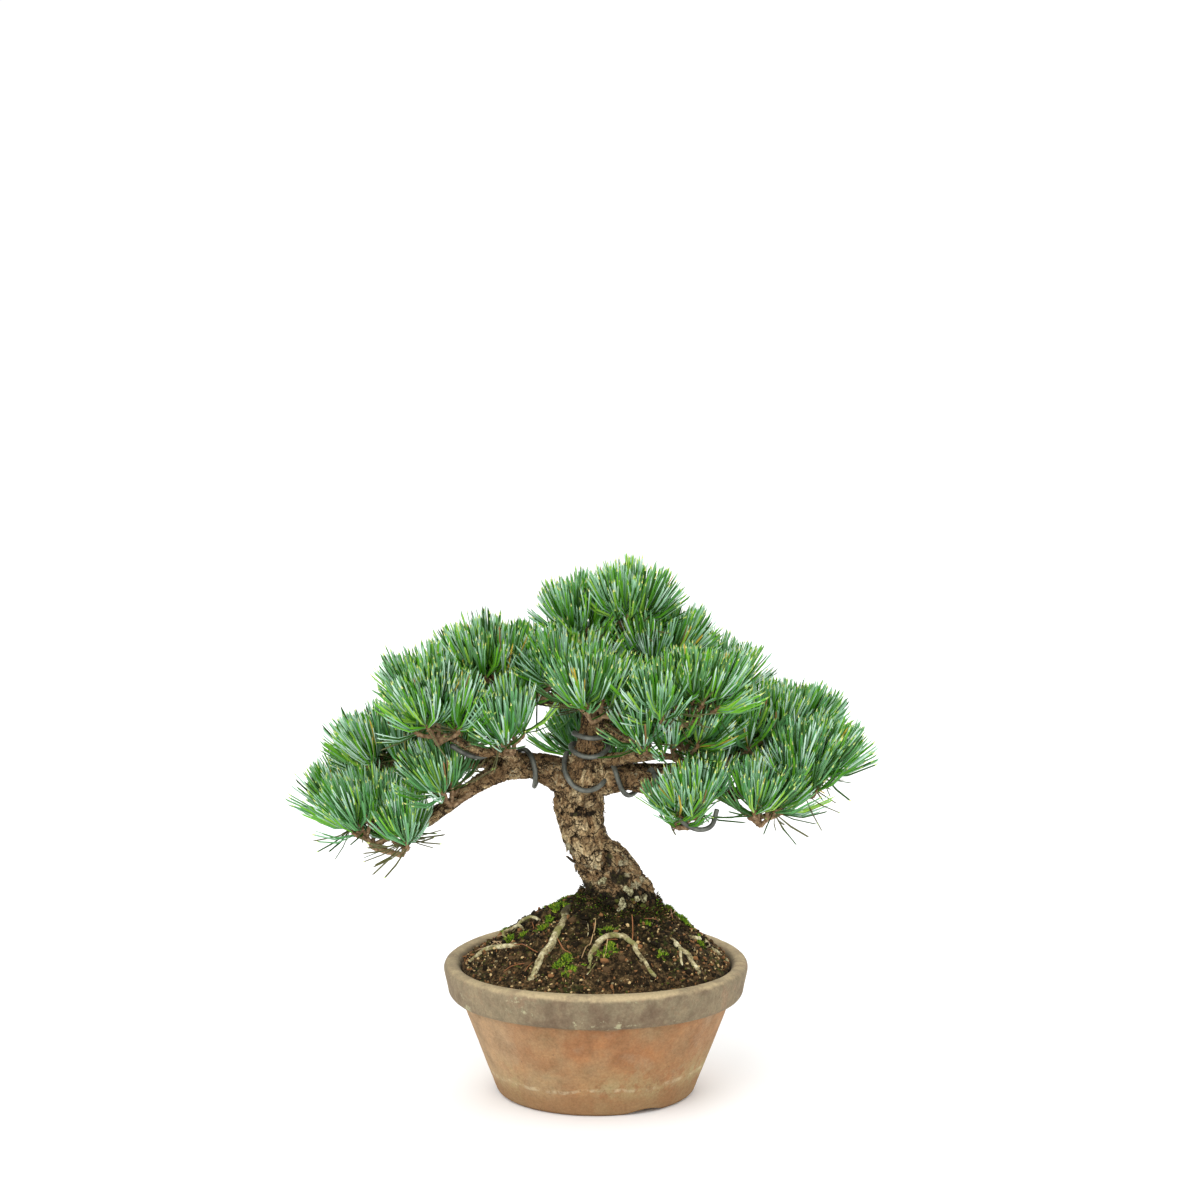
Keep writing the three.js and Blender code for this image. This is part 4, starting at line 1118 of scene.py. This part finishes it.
def build_roots():
    paint = root_paint()
    for seed, (name, (path, radii)) in enumerate(ROOTS.items(), 40):
        heap = Heap()
        limb = Limb(root_way(path, seed), radii, len(path) * 8)
        bark_tube(heap, limb, 2.2, 0.75, seed, 0.32, knobs=1.1, flare=-0.5)
        heap.piece(name + "_bark", [paint], [name], "root", depth=heap.value("depth"))
    heap = Heap()
    rng = np.random.default_rng(8)
    for seed, (path, radius) in enumerate(ROOTLETS, 60):
        twig(heap, root_way(path, seed, 0.7), [radius, radius * 0.8], rng, 0.1, 8)
    heap.piece("rootlets", [paint], ["soil"], "root", depth=np.ones(heap.count))


# Soil


def warp(points):
    """The pot's rim is high in front and behind and low at the sides, and the soil follows it."""
    share = np.maximum(0, points[..., 2] / POT["height"]) ** 3
    points[..., 2] -= POT["warp"] * share * np.cos(2 * np.arctan2(points[..., 1], points[..., 0]))
    return points


def inner_at(z):
    return POT["rim"] - POT["lip"] - 0.355 * (POT["height"] - z)


def crumbled(x, y, z):
    """Small height changes that break the soil's surface into crumbs."""
    place = Vector((x, y, z))
    return noise.fractal(place / 4.5, 1.0, 2.1, 5) * 1.0 + (0.35 - noise.voronoi(place / 2.1)[0][0]) * 1.1


# The soil's mesh, and the gap between it and the pot
SOIL = {"across": 460, "rows": 150, "inner": 0.3, "outer": 80.4, "gap": 0.4}


def build_soil():
    across, rows = SOIL["across"], SOIL["rows"]
    angle = turns_of(across)
    radius = np.linspace(SOIL["inner"], SOIL["outer"], rows)[:, None]
    spots = np.broadcast_to(angle, (rows, across))
    points = np.stack([radius * np.cos(spots), radius * np.sin(spots), soil_height(radius, spots)], axis=-1)
    for row in range(rows):
        fade = min(1.0, (rows - row) / 10)
        for column in range(across):
            points[row, column, 2] += crumbled(*points[row, column]) * fade
    under = FLOOR["top"] + SOIL["gap"]
    levels = [(z, inner_at(z) - SOIL["gap"]) for z in (MOUND["edge"] - 1, 40, FLOOR["top"] + 2)]
    levels += [(under, inner_at(under) - 3), (under, SOIL["inner"])]
    wall = [compass(angle) * reach + UP * z for z, reach in levels]
    heap = Heap()
    heap.add(np.concatenate([points, warp(np.array(wall))]), sheet_faces(rows + len(wall), across))
    # A round patch in front of the trunk's foot where the soil is made darker
    damp = np.zeros(heap.count)
    far = np.linalg.norm(points.reshape(-1, 3)[:, :2] - (12, -16), axis=1)
    damp[: rows * across] = smooth((46 - far) / 26)
    heap.piece("soil_surface", [soil_paint()], ["soil"], "soil", damp=damp)


def on_soil(count, rng, inner, outer):
    """Random places on the mound, with the slope's own upward direction."""
    r = np.sqrt(rng.uniform(inner**2, outer**2, count))
    angle = rng.uniform(0, TURN, count)
    down = (soil_height(r + 0.5, angle) - soil_height(r - 0.5, angle))[:, None]
    out = compass(angle)
    return out * r[:, None] + UP * soil_height(r, angle)[:, None], unit(UP - out * down)


# Tones of the loose crumbs, each with its share near the trunk and how that changes to the rim
CRUMB_COUNT = 8600
CRUMBS = {
    "crumb_dark": ((0.012, 0.008, 0.003), 0.62, -0.5), "crumb_umber": ((0.085, 0.05, 0.022), 0.14, 0.24),
    "crumb_rust": ((0.24, 0.115, 0.045), 0.03, 0.2), "crumb_tan": ((0.6, 0.43, 0.2), 0.02, 0.1),
    "crumb_grey": ((0.22, 0.18, 0.095), 0.03, 0.04), "crumb_olive": ((0.07, 0.075, 0.015), 0.16, -0.08),
}


def lump_form():
    """A ball of twenty faces."""
    golden = (1 + math.sqrt(5)) / 2
    pairs = [(s, t * golden) for s in (-1, 1) for t in (-1, 1)]
    corners = [(0, s, t) for s, t in pairs] + [(s, t, 0) for s, t in pairs] + [(t, 0, s) for s, t in pairs]
    shape = unit(np.array(corners, float))
    near = np.linalg.norm(shape[:, None] - shape, axis=-1) < 1.1
    faces = []
    for a, b, c in combinations(range(12), 3):
        if near[a, b] and near[b, c] and near[a, c]:
            outward = np.dot(np.cross(shape[a], shape[b]), shape[c]) > 0
            faces.append([a, b, c] if outward else [a, c, b])
    return shape, faces


def build_crumbs():
    """Bark chips, grains and clods that lie loose on the soil or stick to the trunk's foot."""
    rng = np.random.default_rng(77)
    paints = [plain(name, tone, 0.9, 0.15) for name, (tone, _, _) in CRUMBS.items()]
    shape, faces = lump_form()
    count = CRUMB_COUNT
    seats, normal = on_soil(count, rng, 12, 79.3)
    size = np.clip(rng.lognormal(-0.6, 0.5, count), 0.25, 1.9)
    stretch = rng.uniform(0.35, 1.5, (count, 1, 3)) * rng.uniform(0.7, 1.25, (count, 12, 1))
    outward = np.hypot(seats[:, 0], seats[:, 1]) / 80
    near, change = (np.array([row[n] for row in CRUMBS.values()]) for n in (1, 2))
    odds = near + outward[:, None] ** 2 * change
    look = (rng.uniform(size=(count, 1)) > np.cumsum(odds, axis=1)).sum(axis=1).clip(0, len(CRUMBS) - 1)
    size = np.where(look >= 3, np.minimum(size, 0.85), size)
    clods = rng.uniform(size=count) < 0.09
    turn = rng.uniform(0, TURN, count)
    level = compass(turn)
    rise = 106 + 19 * rng.uniform(size=count) ** 1.5 * (0.6 + 0.4 * np.cos(turn + 0.7))
    axis = limbs["trunk"].spine.at(np.clip((rise - 108) / 156, 0, 1))
    reach = 0.3 + np.interp(rise, [108, 120, 134], TRUNK["radii"][:3])
    seats = np.where(clods[:, None], axis * (1, 1, 0) + level * reach[:, None] + UP * rise[:, None], seats)
    normal = np.where(clods[:, None], level, normal)
    size = np.where(clods, np.clip(size * 2.2, 0.7, 2.3), size)
    look = np.where(clods, rng.choice(6, count, p=[0.72, 0.13, 0.01, 0, 0.01, 0.13]), look)
    size = size[:, None, None]
    points = seats[:, None] + normal[:, None] * (size * 0.25) + shape * stretch * size
    heap = Heap()
    heap.add(points, copies(faces, len(shape), count), np.repeat(look, len(faces)))
    heap.piece("soil_crumbs", paints, ["soil"], "soil", rounded=False)
    build_straw(rng)


def build_straw(rng):
    """Needles shed on the soil."""
    straw = [plain("straw_rust", (0.33, 0.13, 0.05), 0.6), plain("straw_tan", (0.5, 0.33, 0.16), 0.6)]
    heap = Heap()
    for seat, normal in zip(*on_soil(30, rng, 36, 72)):
        across = unit(np.cross(normal, rng.normal(size=3)))
        half = rng.uniform(5, 13)
        path = []
        for share in np.linspace(-1, 1, 9):
            place = seat + across * half * share + np.cross(normal, across) * 0.6 * share**2
            r = math.hypot(place[0], place[1])
            if r > 80:
                break
            place[2] = soil_height(r, math.atan2(place[1], place[0])) + 1.0 + 0.5 * abs(share)
            path.append(place)
        if len(path) < 4:
            continue
        path = np.array(path)
        fronts, sides = frames_along(unit(np.gradient(path, axis=0)))
        rings = []
        for n, place in enumerate(path):
            thick = 0.34 * (0.4 if n in (0, len(path) - 1) else 1)
            for a in (0.5, 2.6, 4.7):
                rings.append(place + thick * (math.cos(a) * fronts[n] + math.sin(a) * sides[n]))
        heap.add(rings, sheet_faces(len(path), 3), int(rng.integers(2)))
    heap.piece("shed_needles", straw, ["soil"], "soil", rounded=False)


# Cushions of moss: distance from the axis, compass angle, spread and height
MOSS = [
    (51, 3, 4.5, 3.2), (54, -5, 3.5, 2), (64, -13, 3.5, 1), (46, 16, 5, 2), (22, -168, 4, 2.6),
    (24, 172, 4, 2.6), (31, -150, 3, 1), (53, -162, 4, 2.4), (48, -155, 3, 1.4), (56, -108, 5, 1.2),
    (64, -104, 4, 0.8), (60, -112, 3, 1), (38, -80, 3, 0.7), (36, -146, 3, 1), (61, -51, 2.5, 0.6),
    (55, -84, 4, 1), (52, -80, 3, 1), (40, -42, 3, 0.8), (40, 60, 9, 2.2), (55, 100, 7, 1.6),
    (30, 140, 8, 2.4), (62, 150, 6, 1.4), (36, 100, 7, 1.6), (66, 40, 5, 1.2),
]

# Blades to a cushion for each millimetre of its spread, and the dark collar round the trunk's foot
CUSHION_BLADES = 52
COLLAR = {"blades": 5200, "middle": (14, 3), "reach": (22, 31)}

# Tones of the moss with their roughness and shine. Cushions take the first three, the collar all.
MOSS_TONES = {
    "moss_deep": ((0.04, 0.085, 0.006), 0.8, 0.2), "moss_fresh": ((0.13, 0.26, 0.012), 0.8, 0.2),
    "moss_pale": ((0.33, 0.43, 0.03), 0.8, 0.2), "moss_dark": ((0.022, 0.022, 0.008), 0.9, 0.1),
    "moss_brown": ((0.085, 0.05, 0.018), 0.9, 0.1),
}


def blades(heap, seat, way, high, odds, rng):
    """Short three-sided blades, their moss tones dealt out by the odds."""
    count = len(seat)
    side = unit(np.cross(way, rng.normal(size=(count, 3)))) * rng.uniform(0.28, 0.5, (count, 1))
    other = np.cross(way, side)
    back = seat - side * 0.5
    corners = [seat + side, back + other * 0.9, back - other * 0.9, seat + way * high[:, None]]
    look = np.repeat(rng.choice(len(odds), count, p=odds), len(SPIKE))
    heap.add(np.stack(corners, axis=1), copies(SPIKE, 4, count), look)


def build_moss():
    """Cushions of moss, short green blades over low domes, and a dark collar round the trunk."""
    rng = np.random.default_rng(99)
    heap = Heap()
    for r, degrees, size, rise in MOSS:
        count = int(CUSHION_BLADES * size)
        middle = np.array([math.cos(math.radians(degrees)), math.sin(math.radians(degrees))]) * r
        tufts = rng.normal(0, size * 0.55, (12, 2)) * rng.uniform(0.5, 1.4, 2)
        spread = tufts[rng.integers(0, 12, count)] + rng.normal(0, size * 0.14, (count, 2))
        place = middle + spread
        inside = np.hypot(place[:, 0], place[:, 1]) < 79
        place, spread = place[inside], spread[inside]
        count = len(place)
        dome = np.maximum(0, 1 - (spread**2).sum(-1) / size**2) * rise * rng.uniform(0.3, 1, count)
        seat = np.column_stack([place, ground(place) + dome - 0.2])
        way = unit(np.column_stack([spread / size, np.ones(count)]) + rng.normal(0, 0.45, (count, 3)))
        blades(heap, seat, way, rng.uniform(1.1, 2.6, count), [0.4, 0.36, 0.24, 0, 0], rng)
    count = COLLAR["blades"]
    turn = rng.uniform(0, TURN, count)
    away = rng.uniform(*COLLAR["reach"], count)
    x, y = COLLAR["middle"]
    place = np.column_stack([x + away * np.cos(turn) * 1.05, y + away * np.sin(turn)])
    climb = np.maximum(0, 25.5 - away) * rng.uniform(0, 2.2, count)
    lean = np.column_stack([np.cos(turn), np.sin(turn), rng.uniform(0.2, 1.2, count)])
    way = unit(lean + rng.normal(0, 0.5, (count, 3)))
    seat = np.column_stack([place, ground(place) + climb - 0.3])
    blades(heap, seat, way, rng.uniform(0.7, 2.1, count), [0.1, 0.03, 0.01, 0.52, 0.34], rng)
    greens = [plain(name, *look) for name, look in MOSS_TONES.items()]
    heap.piece("moss", greens, ["soil"], "soil", rounded=False)


# Lumps of lichen: their middle, their half sizes and how far they lean
LUMPS = [
    ((15.0, -19.9, 118.2), (3.0, 2.2, 5.6), 0.1), ((23.9, -14.3, 120.6), (3.0, 1.5, 1.9), -0.3),
    ((28.4, -10.6, 120.2), (1.9, 1.4, 2.4), 0.3), ((19.5, -15.0, 125.5), (3.8, 1.3, 1.8), 0.6),
    ((3.6, -15.2, 131.5), (3.8, 1.0, 2.0), -0.5),
]
KNOBS = 18


def build_lichen():
    """Crusts and lumps of lichen on the foot of the trunk, each a cluster of small knobs."""
    rng = np.random.default_rng(21)
    heap = Heap()
    rows, across = 12, 16
    rise = np.linspace(-math.pi / 2, math.pi / 2, rows)[:, None]
    turn = turns_of(across)[None]
    level = np.cos(rise)
    ball = np.stack([level * np.cos(turn), level * np.sin(turn), np.sin(rise) + 0 * turn], axis=-1)
    for k, (at, size, lean) in enumerate(LUMPS):
        for knob in range(KNOBS):
            place = unit(rng.normal(size=3)) * rng.uniform(0.2, 0.75) * size
            points = ball * np.array(size) ** 0.4 * rng.uniform(0.5, 1.0)
            for spot in points.reshape(-1, 3):
                spot *= 1 + 0.5 * noise.fractal(Vector(spot) / 1.3 + Vector((k * 7, knob, 0)), 0.8, 2.0, 4)
            points += place
            turned = points.copy()
            turned[..., 0] = points[..., 0] * math.cos(lean) + points[..., 2] * math.sin(lean)
            turned[..., 2] = points[..., 2] * math.cos(lean) - points[..., 0] * math.sin(lean)
            heap.add(turned + np.array(at), sheet_faces(rows, across))
    heap.piece("lichen", [lichen_paint()], ["trunk"], "bark")


# Pot

POT_ACROSS = 320


def outer_at(z):
    return POT["foot"] + (POT["wall"] - POT["foot"]) * z / BAND["foot"]


def pot_profile():
    """The pot's outline from the drain hole out, up, in and down again, in short steps."""
    rim, high = POT["rim"], POT["height"]
    outline = [
        (FLOOR["drain"], FLOOR["under"]), (FLOOR["ring_in"] - 1, FLOOR["under"]), (FLOOR["ring_in"], 0),
        (FLOOR["ring_out"], 0), (outer_at(1.6), 1.6), (outer_at(BAND["foot"] - 0.5), BAND["foot"] - 0.5),
        (BAND["radius"] - 2, BAND["foot"]), (BAND["radius"], BAND["foot"] + 2.2), (rim, high - 3.2),
        (rim - 0.7, high - 0.9), (rim - 2.4, high), (inner_at(high) + 1.6, high),
        (inner_at(high - 1.4), high - 1.4), (inner_at(FLOOR["top"] + 2), FLOOR["top"] + 2),
        (inner_at(FLOOR["top"]) - 2, FLOOR["top"]), (FLOOR["drain"], FLOOR["top"]),
        (FLOOR["drain"], FLOOR["under"]),
    ]
    profile = []
    for (r, z), (next_r, next_z) in zip(outline, outline[1:]):
        size = math.hypot(next_r - r, next_z - z)
        count = max(2, int(size / (1.0 if r > 57 else 3.5)))
        for n in range(count):
            profile.append((r + (next_r - r) * n / count, z + (next_z - z) * n / count))
    profile = np.array(profile)
    eased = (np.roll(profile, 1, 0) + 2 * profile + np.roll(profile, -1, 0)) / 4
    return np.where(profile[:, 1:] < 0.01, profile, eased)


def build_pot():
    profile = pot_profile()
    across = POT_ACROSS
    angle = turns_of(across)
    out = compass(angle)
    points = profile[:, None, :1] * out[None] + UP * profile[:, None, 1:]
    arch = ((NOTCH["width"] / 2) ** 2 + NOTCH["height"] ** 2) / (2 * NOTCH["height"])
    for n in range(NOTCH["count"]):
        middle = math.radians(NOTCH["first"] + 360 / NOTCH["count"] * n)
        away = (angle - middle + math.pi) % TURN - math.pi
        off = np.sin(away)[None] * profile[:, :1]
        lift = np.sqrt(np.maximum(0, arch**2 - off**2)) - arch + NOTCH["height"]
        ring = (profile[:, :1] > 48.5) & (profile[:, 1:] < 3.6) & (np.abs(away)[None] < 0.5)
        points[..., 2] = np.where(ring, np.maximum(points[..., 2], np.minimum(lift, 3.6)), points[..., 2])
    points = warp(points)
    for row, (_, z) in enumerate(profile):
        if z < 1:
            continue
        for column in range(across):
            place = Vector(points[row, column])
            shift = noise.noise(place / 38) * 0.45 + noise.fractal(place / 7, 1.0, 2.0, 3) * 0.1
            if z > 77:
                shift -= max(0.0, noise.noise(place / 3.1) - 0.35) * 1.1
            points[row, column] += out[column] * shift
            points[row, column, 2] += noise.noise(place / 30 + Vector((9, 0, 0))) * 0.25 * (z / POT["height"])
    heap = Heap()
    heap.add(np.concatenate([points, points[:1]]), sheet_faces(len(points) + 1, across))
    heap.piece("clay_pot", [clay_paint()], ["pot"], "clay")


# Scene

# Each lamp: its place, its size and its power
LAMPS = {
    "key": ((-0.85, -1.65, 1.6), 1.8, 29),
    "fill": ((1.3, -1.2, 0.9), 1.4, 4),
    "back": ((0.2, 1.4, 1.3), 1.2, 8),
}
LAMP_TARGET = Vector((0, 0, 0.17))
CAMERA = {"lens": 125, "place": (2.4, -2414.81, 727.05), "down": 10.0756}
FLOOR_HALF = 60


def place_object(name, data):
    made = bpy.data.objects.new(name, data)
    bpy.context.scene.collection.objects.link(made)
    return made


def build_stage():
    """A plain pale floor, soft studio light and the camera."""
    mesh = bpy.data.meshes.new("floor")
    corners = [(x * FLOOR_HALF, y * FLOOR_HALF, 0) for x, y in ((-1, -1), (1, -1), (1, 1), (-1, 1))]
    mesh.from_pydata(corners, [], [(0, 1, 2, 3)])
    paint = Paint("floor", 0.9, 0.0)
    paint.colour(paint.noise(0.7, 2).ramp((0.3, 0.93, 0.93, 0.93), (0.7, 0.95, 0.95, 0.95)))
    mesh.materials.append(paint.material)
    place_object("floor", mesh)

    world = bpy.data.worlds.new("studio")
    world.use_nodes = True
    sky = world.node_tree.nodes["Background"]
    sky.inputs["Color"].default_value = (1, 1, 1, 1)
    sky.inputs["Strength"].default_value = 1.12
    bpy.context.scene.world = world

    for name, (place, size, power) in LAMPS.items():
        light = bpy.data.lights.new(name, "AREA")
        light.size = size
        light.energy = power
        lamp = place_object(name, light)
        lamp.location = place
        lamp.rotation_euler = (LAMP_TARGET - Vector(place)).to_track_quat("-Z", "Y").to_euler()

    lens = bpy.data.cameras.new("camera")
    lens.lens = CAMERA["lens"]
    lens.sensor_width = 36
    lens.clip_end = 200
    camera = place_object("camera", lens)
    camera.location = AXIS + np.array(CAMERA["place"]) * MM
    camera.rotation_euler = (math.radians(90 - CAMERA["down"]), 0, 0)
    bpy.context.scene.camera = camera
    bpy.context.scene.view_settings.view_transform = "Standard"


build_stage()
build_pot()
build_soil()
build_crumbs()
build_moss()
build_roots()
build_bark()
build_lichen()
build_wires()
build_crown()
